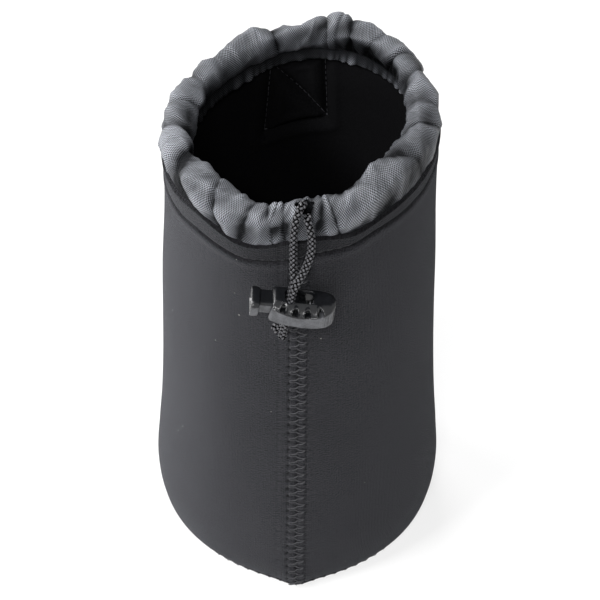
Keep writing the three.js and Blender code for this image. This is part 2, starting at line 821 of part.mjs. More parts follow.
function beltLoop() {
  const stops = [
    [loopTopDrop, loopSeamRows],
    [loopUpperSeamEnd, loopBendRows],
    [loopUpperSeamEnd + loopBendLength, 1],
    [loopLowerSeamStart - loopBendLength, loopBendRows],
    [loopLowerSeamStart, loopSeamRows],
  ];
  const drops = stops.flatMap(([from, rows], i) => {
    const to = i + 1 < stops.length ? stops[i + 1][0] : loopBottomDrop;
    return Array.from({ length: rows }, (_, row) => THREE.MathUtils.lerp(from, to, row / rows));
  });
  drops.push(loopBottomDrop);
  const acrosses = Array.from({ length: loopColumns + 1 }, (_, i) => (i / loopColumns - 0.5) * loopWidth);
  const face = (out) => drops.map((drop) => acrosses.map((across) => loopPoint(across, drop, out)));
  return sheetSolid(face(loopThickness), face(0), false);
}

// Box stitch with one diagonal, sewn in one run: diagonal, up, across, down and back along the foot
function boxStitch(topDrop, bottomDrop, pointAt, facing) {
  const half = loopWidth / 2 - loopSeamInset;
  const corners = [
    [-half + boxStitchEndGap, topDrop + boxStitchEndGap],
    [half, bottomDrop],
    [half, topDrop],
    [-half, topDrop],
    [-half, bottomDrop],
    [half - boxStitchEndGap, bottomDrop],
  ];
  const points = [];
  for (let side = 0; side + 1 < corners.length; side++) {
    for (let step = 0; step < stitchBoxSteps; step++) {
      const mix = step / stitchBoxSteps;
      const [from, to] = [corners[side], corners[side + 1]];
      const [across, drop] = [0, 1].map((k) => THREE.MathUtils.lerp(from[k], to[k], mix));
      points.push(pointAt(across, drop));
    }
  }
  points.push(pointAt(...corners.at(-1)));
  const outwards = points.map(() => outwardAt(BACK).multiplyScalar(facing));
  return strandSolid(points, outwards, threadRadius, 4, false);
}

const onLoop = (across, drop) => loopPoint(across, drop, loopThickness + threadLift);
const insideWall = (across, drop) => (
  wallPoint(BACK - across / rimHalfDepth, shareBelowRim(drop), wallThickness + threadLift));

addPiece('body_wall', bodyWall(), jerseyNeoprene);
addPiece('base_disc', baseDisc(), baseNeoprene);
addPiece('front_seam_thread', frontSeamThread(), seamThread);
addPiece('base_seam_thread', baseSeamThread(), seamThread);
addPiece('collar', collar(), wovenNylon);
addPiece('collar_stitch_outside', collarStitchOutside(), seamThread);
addPiece('collar_stitch_inside', collarStitchInside(), seamThread);
addPiece('drawcord_ring', drawcordRing(), braidedCord);
addPiece('cord_left', freeCord(leftCordRoute), braidedCord);
addPiece('cord_right', freeCord(rightCordRoute), braidedCord);

const lock = new THREE.Group();
lock.position.copy(fromRim(lockFromRim));
lock.rotation.y = lockTilt;
group.add(lock);
addPiece('lock_barrel', lockBarrel(), lockPlastic, lock);
addPiece('lock_plunger', lockPlunger(), lockPlastic, lock);
addPiece('lock_spring', lockSpring(), springSteel, lock);

addPiece('belt_loop', beltLoop(), loopWebbing);
const upperSeamBottom = loopUpperSeamEnd - loopSeamInset / 2;
const lowerSeamTop = loopLowerSeamStart + loopSeamInset / 2;
const lowerSeamBottom = loopBottomDrop - loopSeamInset;
addPiece('upper_stitch_outside', boxStitch(upperSeamTopDrop, upperSeamBottom, onLoop, 1), seamThread);
addPiece('upper_stitch_inside', boxStitch(upperSeamTopDrop, upperSeamBottom, insideWall, -1), seamThread);
addPiece('lower_stitch_outside', boxStitch(lowerSeamTop, lowerSeamBottom, onLoop, 1), seamThread);
addPiece('lower_stitch_inside', boxStitch(lowerSeamTop, lowerSeamBottom, insideWall, -1), seamThread);

export default group;
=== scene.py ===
import math
from functools import partial

import bmesh
import bpy
import numpy as np
from mathutils import Matrix, Vector


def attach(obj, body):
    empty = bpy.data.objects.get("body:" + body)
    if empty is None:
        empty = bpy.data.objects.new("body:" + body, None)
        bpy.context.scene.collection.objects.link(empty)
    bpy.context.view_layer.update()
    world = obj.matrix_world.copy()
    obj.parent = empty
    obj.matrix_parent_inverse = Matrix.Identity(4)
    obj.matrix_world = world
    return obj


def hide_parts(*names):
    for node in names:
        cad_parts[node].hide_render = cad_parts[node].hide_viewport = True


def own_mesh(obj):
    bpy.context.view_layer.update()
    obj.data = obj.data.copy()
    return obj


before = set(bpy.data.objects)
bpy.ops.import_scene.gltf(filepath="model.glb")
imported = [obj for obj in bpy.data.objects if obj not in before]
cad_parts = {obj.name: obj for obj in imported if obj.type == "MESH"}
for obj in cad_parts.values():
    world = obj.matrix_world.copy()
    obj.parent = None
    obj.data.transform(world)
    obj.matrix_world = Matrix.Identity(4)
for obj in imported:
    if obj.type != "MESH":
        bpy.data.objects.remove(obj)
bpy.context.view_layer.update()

# Drawstring lens pouch: neoprene wall and base, a gathered woven collar on a drawcord, a spring cord
# lock and a webbing belt loop. Sizes are in millimetres and become metres where a mesh is made.

# ---------------------------------------------------------------------------------------------
# Camera: stands in front of the pouch and well above it, and looks half down into the mouth.
# A long lens keeps the pouch's sides nearly parallel.
CAMERA_LENS = 142.67
CAMERA_PLACE = (0.00048, -0.5540, 0.7523)
LOOK_DOWN, LEAN = 49.273, 0.6   # degrees
camera_data = bpy.data.cameras.new("studio_camera")
camera_data.lens = CAMERA_LENS
camera = bpy.data.objects.new("studio_camera", camera_data)
bpy.context.scene.collection.objects.link(camera)
bpy.context.scene.camera = camera
look_down = Matrix.Rotation(math.radians(90 - LOOK_DOWN), 4, "X")
lean = Matrix.Rotation(math.radians(LEAN), 4, "Z")
camera.matrix_world = Matrix.Translation(CAMERA_PLACE) @ look_down @ lean


# ---------------------------------------------------------------------------------------------
# Drawcord: round braid of eight black polyester yarns, four each way, one over and one under.
# It comes out of the collar's slit, hangs down the front through the cord lock and ends in two
# short cut tails whose yarns have come apart.
def linear(hex_colour):
    """A written sRGB colour as the linear colour that a shader takes."""
    levels = [int(hex_colour[i:i + 2], 16) / 255 for i in (1, 3, 5)]
    return (*[v / 12.92 if v <= 0.04045 else ((v + 0.055) / 1.055) ** 2.4 for v in levels], 1.0)


MATH, VECTOR, NOISE = "ShaderNodeMath", "ShaderNodeVectorMath", "ShaderNodeTexNoise"


def add_node(tree, kind, inputs=(), operation=None, **settings):
    """Adds a node, sets it up and feeds its inputs, by name or in order, with values, outputs or whole nodes."""
    node = tree.nodes.new(kind)
    if operation:
        node.operation = operation
    for name, value in settings.items():
        setattr(node, name, value)
    for key, value in inputs.items() if isinstance(inputs, dict) else enumerate(inputs):
        if isinstance(value, bpy.types.Node):
            value = value.outputs[0]
        if isinstance(value, bpy.types.NodeSocket):
            tree.links.new(value, node.inputs[key])
        else:
            node.inputs[key].default_value = value
    return node


def new_material(name):
    """An empty material, and what adds a node to its tree."""
    material = bpy.data.materials.new(name)
    material.use_nodes = True
    material.node_tree.nodes.clear()
    return material, partial(add_node, material.node_tree)


def on_object(node):
    """The place on the object, in metres."""
    return node("ShaderNodeTexCoord").outputs["Object"]


def finish_surface(node, factor, dark, light, look, bump=None):
    """Ends a material: a tone between two colours and a bump (height, strength, distance) on one shader."""
    tone = node("ShaderNodeMix", {"Factor": factor, 6: linear(dark), 7: linear(light)}, data_type="RGBA")
    look = {"Base Color": tone.outputs[2], **look}
    if bump:
        look["Normal"] = node("ShaderNodeBump", dict(zip(("Height", "Strength", "Distance"), bump)))
    node("ShaderNodeOutputMaterial", [node("ShaderNodeBsdfPrincipled", look)])


# Braided polyester: dull black filament yarn. Where the braid's tree has stored that a yarn lies over the other
# one, its colour is lighter and its specular level higher: a little painted sheen on each plait.
braided_polyester, node = new_material("braided_polyester")
filaments = node(NOISE, {"Vector": on_object(node), "Scale": 5200.0, "Detail": 2.0})
lies_over = node("ShaderNodeAttribute", attribute_name="plait").outputs["Fac"]
plait = node("ShaderNodeMapRange", {"Value": lies_over, "From Min": 0.4, "From Max": 1.0})
grain = node("ShaderNodeMapRange", {"Value": filaments, "To Min": 0.6, "To Max": 1.0})
shine = node(MATH, [plait, grain], "MULTIPLY")
gloss = node(MATH, [shine, 0.6], "MULTIPLY")
finish_surface(node, shine, "#030303", "#545458", {"Roughness": 0.38, "IOR": 1.5, "Specular IOR Level": gloss},
               bump=(filaments, 0.35, 0.0001))

# The core's yarns lie in the dark between the plaits
spun_core, node = new_material("spun_polyester_core")
fluff = node(NOISE, {"Vector": on_object(node), "Scale": 4000.0})
finish_surface(node, fluff, "#040404", "#101011", {"Roughness": 0.9, "IOR": 1.5})


def new_tree(name, sockets):
    """A geometry tree with named inputs, what adds a node to it, and what comes in."""
    tree = bpy.data.node_groups.new(name, "GeometryNodeTree")
    tree.interface.new_socket("Geometry", in_out="INPUT", socket_type="NodeSocketGeometry")
    for socket, kind in sockets.items():
        tree.interface.new_socket(socket, in_out="INPUT", socket_type="NodeSocket" + kind)
    tree.interface.new_socket("Geometry", in_out="OUTPUT", socket_type="NodeSocketGeometry")
    node = partial(add_node, tree)
    return tree, node, node("NodeGroupInput").outputs


def finish_tree(node, geometry, material, **chosen):
    """Ends a tree: instances made real, the material set, and the result given out."""
    real = node("GeometryNodeRealizeInstances", [geometry])
    dressed = node("GeometryNodeSetMaterial", {"Geometry": real, "Material": material, **chosen})
    node("NodeGroupOutput", [dressed])


def plain_mesh(source, tree, values, name):
    """Runs a node tree on an object with the named inputs and gives back its result as a plain mesh piece."""
    modifier = source.modifiers.new("nodes", "NODES")
    modifier.node_group = tree
    for item in tree.interface.items_tree:
        if item.in_out == "INPUT" and item.name in values:
            modifier[item.identifier] = values[item.name]
    bpy.context.view_layer.update()
    graph = bpy.context.evaluated_depsgraph_get()
    mesh = bpy.data.meshes.new_from_object(source.evaluated_get(graph))
    source.modifiers.remove(modifier)
    bpy.data.objects.remove(source)
    piece = bpy.data.objects.new(name, mesh)
    mesh.name = name
    bpy.context.scene.collection.objects.link(piece)
    mesh.polygons.foreach_set("use_smooth", [True] * len(mesh.polygons))
    return piece


def path_object(name, points, cyclic=False):
    """A curve through points in millimetres."""
    curve = bpy.data.curves.new(name, "CURVE")
    curve.dimensions = "3D"
    spline = curve.splines.new("POLY")
    spline.points.add(len(points) - 1)
    spline.points.foreach_set("co", np.c_[np.array(points) / 1000, np.ones(len(points))].ravel())
    spline.use_cyclic_u = cyclic
    path = bpy.data.objects.new(name, curve)
    bpy.context.scene.collection.objects.link(path)
    return path


# The braid's tree: every yarn is a copy of the cord's line, wound round it and lifted at crossings
BRAID_STEP = 0.00018   # metres between a yarn's points
SPLAY = 0.0006         # metres that a frayed yarn's end stands out at most
braid, node, given = new_tree("round_braid", {
    "Yarns Each Way": "Int", "Cord Radius": "Float", "Yarn Radius": "Float", "Lift": "Float",
    "Turn Length": "Float", "Frayed Share": "Float", "Seed": "Int", "Material": "Material",
    "Core Material": "Material"})
line = node("GeometryNodeResampleCurve", {"Curve": given["Geometry"], "Length": BRAID_STEP}, mode="LENGTH")
amount = node(MATH, [given["Yarns Each Way"], 2.0], "MULTIPLY")
copies = node("GeometryNodeDuplicateElements", {"Geometry": line, "Amount": amount}, domain="SPLINE")
index = copies.outputs["Duplicate Index"]
odd = node(MATH, [index, 2.0], "MODULO")
way = node(MATH, [node(MATH, [odd, 2.0], "MULTIPLY"), 1.0], "SUBTRACT")
number = node(MATH, [node(MATH, [index, 2.0], "DIVIDE")], "FLOOR")
share = node(MATH, [number, given["Yarns Each Way"]], "DIVIDE")
along = node("GeometryNodeSplineParameter").outputs
turns = node(MATH, [along["Length"], given["Turn Length"]], "DIVIDE")
turned = node(MATH, [node(MATH, [turns, way], "MULTIPLY"), share], "ADD")
wound = node(MATH, [turned, math.tau], "MULTIPLY")
crossings = node(MATH, [turns, given["Yarns Each Way"]], "MULTIPLY")
crossings = node(MATH, [crossings, math.tau], "MULTIPLY")
over = node(MATH, [node(MATH, [crossings], "COSINE"), way], "MULTIPLY")
lift = node(MATH, [over, given["Lift"]], "MULTIPLY")
whole = node(MATH, [1.0, given["Frayed Share"]], "SUBTRACT")
loose = node(MATH, [along["Factor"], whole], "SUBTRACT")
loose = node(MATH, [node(MATH, [loose, 0.0], "MAXIMUM"), given["Frayed Share"]], "DIVIDE")
scatter = node("FunctionNodeRandomValue", {
    2: 0.1, 3: 1.0, "ID": index, "Seed": given["Seed"]}, data_type="FLOAT").outputs[1]
splay = node(MATH, [node(MATH, [loose, 1.5], "POWER"), SPLAY], "MULTIPLY")
splay = node(MATH, [splay, scatter], "MULTIPLY")
inner = node(MATH, [given["Cord Radius"], given["Yarn Radius"]], "SUBTRACT")
inner = node(MATH, [inner, given["Lift"]], "SUBTRACT")
radius = node(MATH, [node(MATH, [inner, lift], "ADD"), splay], "ADD")
normal = node("GeometryNodeInputNormal")
side = node(VECTOR, [node("GeometryNodeInputTangent"), normal], "CROSS_PRODUCT")
parts = []
for direction, wave in ((normal, "COSINE"), (side, "SINE")):
    out = node(MATH, [radius, node(MATH, [wound], wave)], "MULTIPLY")
    parts.append(node(VECTOR, {0: direction, "Scale": out}, "SCALE"))
marked = node("GeometryNodeStoreNamedAttribute", {
    "Geometry": copies, "Name": "plait", "Value": over}, data_type="FLOAT", domain="POINT")
yarns = node("GeometryNodeSetPosition", {"Geometry": marked, "Offset": node(VECTOR, parts, "ADD")})
section = node("GeometryNodeCurvePrimitiveCircle", {"Resolution": 6, "Radius": given["Yarn Radius"]})
skins = node("GeometryNodeCurveToMesh", {"Curve": yarns, "Profile Curve": section, "Fill Caps": True})
core_section = node("GeometryNodeCurvePrimitiveCircle", {"Resolution": 10, "Radius": inner})
core = node("GeometryNodeCurveToMesh", {"Curve": line, "Profile Curve": core_section, "Fill Caps": True})
dark_core = node("GeometryNodeSetMaterial", {"Geometry": core, "Material": given["Core Material"]})
marked_core = node("GeometryNodeStoreNamedAttribute", {
    "Geometry": dark_core, "Name": "core", "Value": 1.0}, data_type="FLOAT", domain="FACE")
joined = node("GeometryNodeJoinGeometry")
for part in (skins, marked_core):
    braid.links.new(part.outputs[0], joined.inputs[0])
on_core = node("GeometryNodeInputNamedAttribute", {"Name": "core"}, data_type="FLOAT")
finish_tree(node, joined, given["Material"], Selection=node(MATH, [on_core, 0.5], "LESS_THAN"))


def smooth_path(points, step):
    """Points a step apart on a smooth curve through the given ones."""
    points = np.array(points, float)
    ends = np.vstack([2 * points[0] - points[1], points, 2 * points[-1] - points[-2]])
    fine = []
    for a, b, c, d in zip(ends, ends[1:], ends[2:], ends[3:]):
        t = np.linspace(0, 1, 40, endpoint=False)[:, None]
        fine.append(0.5 * (2 * b + (c - a) * t + (2 * a - 5 * b + 4 * c - d) * t ** 2
                           + (3 * b - a - 3 * c + d) * t ** 3))
    fine = np.vstack([*fine, points[-1:]])
    far = np.r_[0, np.cumsum(np.linalg.norm(np.diff(fine, axis=0), axis=1))]
    stops = np.linspace(0, far[-1], max(2, int(far[-1] / step)))
    return np.c_[[np.interp(stops, far, fine[:, k]) for k in range(3)]].T, far[-1]


CORD_DIAMETER = 2.8
YARN_RADIUS, CROSSING_LIFT, TURN_LENGTH = 0.4, 0.26, 7.8
LEFT_CORD = [
    (0.75, -42, 202.9), (1.2, -42.5, 204.2), (1.1, -43.8, 205.6), (0.5, -45.5, 206), (-0.4, -47.2, 205.1),
    (-1.2, -48.9, 202.9), (-1.6, -49.8, 199.4), (-1.75, -50.3, 195.1), (-1.8, -50.8, 188.2), (-1.75, -51.9, 183.4),
    (-1.5, -52.8, 179.6), (-2.4, -52.95, 173.6), (-2.95, -52.95, 169.9), (-3.5, -52.95, 166.2),
    (-4.1, -52.8, 162.6), (-5.7, -52.1, 158), (-7.7, -51.5, 154)]
RIGHT_CORD = [
    (2.8, -45.95, 202.2), (2.6, -47.3, 202.6), (3, -48.9, 201.8), (3.6, -50.1, 199), (3.95, -50.6, 195.7),
    (3.8, -51.4, 191.8), (2.8, -52.7, 187.8), (1.1, -54.4, 184.2), (-0.5, -55.7, 181.2), (-1.55, -56.05, 178.8),
    (-2.4, -56.05, 173.6), (-2.95, -56.05, 169.9), (-3.5, -56.05, 166.2), (-4, -55.95, 162.8),
    (-4.7, -55.6, 158.5), (-5.3, -55.2, 154.4)]
cords = []
for cord_name, route in (("cord_left", LEFT_CORD), ("cord_right", RIGHT_CORD)):
    cord_line, cord_length = smooth_path(route, 0.5)
    cord_piece = plain_mesh(path_object(cord_name + "_line", cord_line), braid, {
        "Yarns Each Way": 4, "Cord Radius": CORD_DIAMETER / 2000, "Yarn Radius": YARN_RADIUS / 1000,
        "Lift": CROSSING_LIFT / 1000, "Turn Length": TURN_LENGTH / 1000, "Frayed Share": 0.06, "Seed": 4,
        "Material": braided_polyester, "Core Material": spun_core}, "braid_" + cord_name)
    cords.append((cord_piece, cord_name, cord_line / 1000, cord_length / 1000))


# ---------------------------------------------------------------------------------------------
# Neoprene wall: a 3.5 mm foam rubber sheet with black knit jersey outside and plush inside, rolled
# round and butted at the front. Its edges are drawn together by a three-step zigzag stitch, and the
# collar is sewn into its folded top edge, which leaves a puffed band above a stitched groove.
WALL_THICKNESS = 3.5
BODY_HEIGHT = 192.0
BASE_RISE = 2.2
SEWN_HEIGHT = BODY_HEIGHT - BASE_RISE
RIM_HALF_WIDTH = 45.5
RIM_HALF_DEPTH = 47.7
RIM_SLANT = 6.0
# Share of the height, and the half width and half depth there as shares of the rim's
WALL_SHARES = np.array([
    (0, 1.044, 0.972), (0.025, 1.112, 1.012), (0.06, 1.15, 1.032), (0.11, 1.169, 1.042), (0.2, 1.148, 1.047),
    (0.3, 1.114, 1.046), (0.42, 1.084, 1.036), (0.55, 1.062, 1.02), (0.7, 1.042, 1.01), (0.85, 1.012, 1.005),
    (1, 1, 1)])
# Degrees round from the front, and how far the rim rises there as a share of its slant
RIM_RISE_SHARES = [
    (-165, -0.25), (-150, -0.5), (-127, -0.7), (-105, -0.77), (-73, -0.7), (-58, -0.5), (-46, -0.27), (-36, -0.5),
    (-24, -0.87), (-17, -0.7), (-4, 0), (8, 0.3), (23, 0.1), (35, 0.55), (48, 0.8), (64, 0.93), (90, 1),
    (115, 0.93), (140, 0.73), (160, 0.47), (180, 0.1)]
# Degrees round, and how far below the rim the groove's stitches run
GROOVE_DROP = [
    (-180, 7), (-60, 9), (-38, 8.6), (-26, 7.6), (-17, 7.4), (-4, 8.8), (8, 7.4), (17, 6), (28, 4.8), (44, 5.7),
    (60, 6.4), (90, 7)]


def smooth_table(xs, ys, x):
    """Smooth curve through table points, read at x."""
    xs, ys = np.array(xs, float), np.array(ys, float)
    slope = np.gradient(ys, xs)
    i = np.clip(np.searchsorted(xs, x) - 1, 0, len(xs) - 2)
    gap = xs[i + 1] - xs[i]
    t = np.clip((x - xs[i]) / gap, 0, 1)
    return ((2 * t ** 3 - 3 * t ** 2 + 1) * ys[i] + (t ** 3 - 2 * t ** 2 + t) * slope[i] * gap
            + (3 * t ** 2 - 2 * t ** 3) * ys[i + 1] + (t ** 3 - t ** 2) * slope[i + 1] * gap)


def round_table(table, angle):
    """The same for a table of degrees and values that joins up round the pouch."""
    degrees = (np.degrees(angle) + 180) % 360 - 180
    xs = [d + turn for turn in (-360, 0, 360) for d, _ in table]
    return smooth_table(xs, [v for _ in range(3) for _, v in table], degrees)


def bell(x, spread):
    """1 at 0, and down to nothing a few spreads away."""
    return np.exp(-(x / spread) ** 2)


def rim_rise(angle):
    """How far the slanting, dipping rim stands above its mean height."""
    return RIM_SLANT * round_table(RIM_RISE_SHARES, angle)


def wall_share(share, column):
    """The wall's half width (column 1) or half depth (2) at a share of its height, as a share of the rim's."""
    return smooth_table(WALL_SHARES[:, 0], WALL_SHARES[:, column], share)


def round_place(half_width, half_depth, angle, z):
    """Points round the pouch's axis; angle 0 is the front."""
    return np.stack([half_width * np.sin(angle), -half_depth * np.cos(angle), z], -1)


def signed_turn(angle):
    """The angle from the front, from -pi to pi."""
    return (angle + np.pi) % (2 * np.pi) - np.pi


def wall_place(angle, share, depth):
    """Points of the wall, inwards of its outer face by depth."""
    share = np.clip(share, 0, 1)
    width, deep = RIM_HALF_WIDTH * wall_share(share, 1), RIM_HALF_DEPTH * wall_share(share, 2)
    near, below = np.clip(share + 0.004, 0, 1), np.clip(share - 0.004, 0, 1)
    growth = RIM_HALF_WIDTH * (wall_share(near, 1) - wall_share(below, 1))
    rise = (near - below) * SEWN_HEIGHT
    out, up = rise / np.hypot(rise, growth), -growth / np.hypot(rise, growth)
    # The seam draws the sheet to a ridge low down, and to a tip at the bottom edge
    ridge = 2.0 * np.maximum(0, 1 - share / 0.7) ** 1.5 * bell(signed_turn(angle), 0.3)
    ridge = ridge + 1.8 * np.maximum(0, 1 - share / 0.08) * bell(signed_turn(angle), 0.12)
    z = BASE_RISE + share * SEWN_HEIGHT + rim_rise(angle) * share ** 2 - depth * up
    place = round_place(width - depth * out, deep - depth * out, angle, z)
    place[..., 1] -= ridge
    return place


def grid_mesh(name, points, uv, wrap_rows=False):
    """A mesh from rings of points in millimetres, [row][column], with its own UV map in metres."""
    rows, columns = points.shape[:2]
    r = np.arange(rows if wrap_rows else rows - 1)
    r, c = np.meshgrid(r, np.arange(columns), indexing="ij")
    nr, nc = (r + 1) % rows, (c + 1) % columns
    faces = np.stack([r * columns + c, r * columns + nc, nr * columns + nc, nr * columns + c], -1).reshape(-1, 4)
    mesh = bpy.data.meshes.new(name)
    mesh.from_pydata((points.reshape(-1, 3) / 1000).tolist(), [], faces.tolist())
    layer = mesh.uv_layers.new(name="UVMap")
    wide_uv = np.concatenate([uv, uv[:, :1] + [uv[0, -1, 0] - uv[0, 0, 0] + (uv[0, 1, 0] - uv[0, 0, 0]), 0]], 1)
    tall_uv = np.concatenate([wide_uv, wide_uv[:1]], 0)
    corners = np.stack([tall_uv[r, c], tall_uv[r, c + 1], tall_uv[r + 1, c + 1], tall_uv[r + 1, c]], -2)
    layer.data.foreach_set("uv", (corners / 1000).astype(np.float32).ravel())
    mesh.polygons.foreach_set("use_smooth", [True] * len(mesh.polygons))
    mesh.update()
    piece = bpy.data.objects.new(name, mesh)
    bpy.context.scene.collection.objects.link(piece)
    return piece


def ripple(a, b, seed, count=6, low=1, high=3):
    """Gentle unevenness: a sum of a few waves, about -1 to 1, closed round the angle a."""
    draw = np.random.default_rng(seed)
    total = np.zeros(np.broadcast(a, b).shape)
    for _ in range(count):
        turns = int(draw.integers(low, high + 1))
        total += np.sin(turns * a + draw.uniform(-1, 1) * high * b + draw.uniform(0, 6.28))
    return total / count * 1.4


STITCH_PITCH = 4.4
STITCH_HALF_WIDTH = 3.0
BOX_STITCH = [(-10.4, 8.9), (8.2, 7.0), (9.3, 37.0), (-12.6, 41.5)]   # across and below the rim, from top left


def front_seam_swell(across, below):
    """Height of the jersey beside the front seam: little pillows between the needle holes."""
    inside = bell(across, 3.4)
    rows = np.abs(np.sin(np.pi * below / STITCH_PITCH)) ** 0.7
    valleys = (0.42 * bell(across, 0.45) + 0.4 * bell(np.abs(across) - STITCH_HALF_WIDTH, 0.5))
    return inside * (0.6 * rows - 0.2) - valleys * (1 - 0.45 * rows)


def line_distance(x, y, start, end):
    """Distance from points to a straight line between two places."""
    (ax, ay), (bx, by) = start, end
    t = np.clip(((x - ax) * (bx - ax) + (y - ay) * (by - ay)) / ((bx - ax) ** 2 + (by - ay) ** 2), 0, 1)
    return np.hypot(x - ax - t * (bx - ax), y - ay - t * (by - ay))


# The sheet's columns and rows are closer at the front seam, at the box stitch behind and at the rim
seam_columns = np.arange(-5.6, 5.61, 0.35) / RIM_HALF_DEPTH
stitched_span = 0.34   # radians at each side of the back's middle
plain_columns = np.r_[np.linspace(seam_columns[-1], np.pi - stitched_span, 86)[1:-1],
                      np.linspace(np.pi - stitched_span, np.pi + stitched_span, 50),
                      np.linspace(np.pi + stitched_span, 2 * np.pi + seam_columns[0], 86)[1:-1]]
wall_angles = np.r_[seam_columns, plain_columns]
rim_drops = np.r_[np.arange(0.25, 15, 0.4), np.arange(15, SEWN_HEIGHT - 5, 0.86),
                  np.linspace(SEWN_HEIGHT - 5, SEWN_HEIGHT, 9)]
angle, drop = np.meshgrid(wall_angles, rim_drops)
groove = round_table(GROOVE_DROP, angle)
across = signed_turn(angle) * RIM_HALF_DEPTH
seam_fade = 1 / (1 + np.exp(-(drop - groove - 1.5) * 2))
# Outwards: the puffed band, the groove, the welt under it, a gentle unevenness and the front seam's
# pillows. Inwards: the bottom edge, where the base is sewn on.
swell = 0.7 * np.clip(1 - drop / groove, 0, 1) - 0.8 * bell(drop - groove, 0.6)
swell += 0.3 * bell(drop - groove - 2.2, 1.7) + 0.35 * ripple(angle, drop / 60, 11) * np.clip(drop / 12, 0, 1)
swell += front_seam_swell(across, drop) * seam_fade - 0.5 * bell(drop - SEWN_HEIGHT, 1.2)
outer = wall_place(angle, 1 - drop / SEWN_HEIGHT, -swell)
inner_drops = np.r_[np.arange(SEWN_HEIGHT, 60, -3.2), np.arange(60, 0.3, -0.9)]
inner_angle, inner_drop = np.meshgrid(wall_angles, inner_drops)
behind = ((inner_angle % (2 * np.pi)) - np.pi) * -(RIM_HALF_DEPTH - WALL_THICKNESS)
box_lines = [(BOX_STITCH[a], BOX_STITCH[b]) for a, b in ((0, 1), (1, 2), (2, 3), (3, 0), (0, 2))]
to_line = np.min([line_distance(behind, inner_drop, a, b) for a, b in box_lines], axis=0)
# The box stitch pulls the lining in along its lines, and the sheet bulges beside them
dent = 1.9 * bell(to_line, 0.9) + 0.8 * bell(to_line, 2.6) - 0.7 * bell(to_line - 4, 2.0)
inner = wall_place(inner_angle, 1 - inner_drop / SEWN_HEIGHT, WALL_THICKNESS - dent)
roll = []   # the folded top edge
for step in np.linspace(0, 1, 8)[1:-1]:
    lip = wall_place(wall_angles, np.ones_like(wall_angles), step * WALL_THICKNESS)
    lip[:, 2] += 1.1 * math.sin(math.pi * step)
    roll.append(lip)
wall_points = np.concatenate([outer[::-1], np.array(roll), inner[::-1]], 0)
wall_v = np.r_[SEWN_HEIGHT - rim_drops[::-1], SEWN_HEIGHT + np.linspace(0.5, 3, len(roll)),
               SEWN_HEIGHT + 4 + inner_drops[::-1]]
wall_uv = np.stack(np.meshgrid(wall_angles * RIM_HALF_DEPTH, wall_v), -1)
wall = grid_mesh("neoprene_wall", wall_points, wall_uv, wrap_rows=True)
# Painted shade: the jersey's colour is darkened where the folds let in less light, on the band, in the groove and
# inside
shade = 1 - 0.56 * np.clip((groove - drop) / 0.6 + 0.5, 0, 1) - 0.35 * bell(drop - groove, 0.8)
shade = np.r_[shade[::-1], np.full((len(wall_points) - len(shade), len(wall_angles)), 0.6)]
wall.data.attributes.new("painted_fold_light", "FLOAT", "POINT").data.foreach_set("value", shade.ravel())

# Knit jersey laminated to foam rubber: matt and slightly fuzzy, so its edges look lighter. The wales
# are 0.3 mm apart in fact and drawn at 0.6 mm, so that they show.
WALE_PITCH = 0.6
COURSE_PITCH = WALE_PITCH * 0.8
NEEDLE_HOLE, NEEDLE_DENT = 0.0003, 0.00075   # metres from a hole's middle to its edge and the end of its dent


def needle_holes(node, x, y):
    """1 in the front seam's needle holes, which are coloured near-black as painted shade: a row at each side, half
    a pitch apart, and a closer one between.
    """
    pitch, most = STITCH_PITCH / 1000, None
    for place, spacing, start in (
            (-STITCH_HALF_WIDTH, pitch, 0.0), (STITCH_HALF_WIDTH, pitch, 0.5), (0.0, pitch / 2, 0.5)):
        aside = node(MATH, [x, place / 1000], "SUBTRACT")
        beat = node(MATH, [node(MATH, [y, spacing], "DIVIDE"), start], "ADD")
        along = node(MATH, [node(MATH, [beat, 0.5], "PINGPONG"), spacing], "MULTIPLY")
        squares = [node(MATH, [part, 2.0], "POWER") for part in (aside, along)]
        far = node(MATH, [node(MATH, squares, "ADD")], "SQRT")
        hole = node("ShaderNodeMapRange", {
            "Value": far, "From Min": NEEDLE_HOLE, "From Max": NEEDLE_DENT, "To Min": 1.0, "To Max": 0.0})
        most = hole if most is None else node(MATH, [most, hole], "MAXIMUM")
    return most


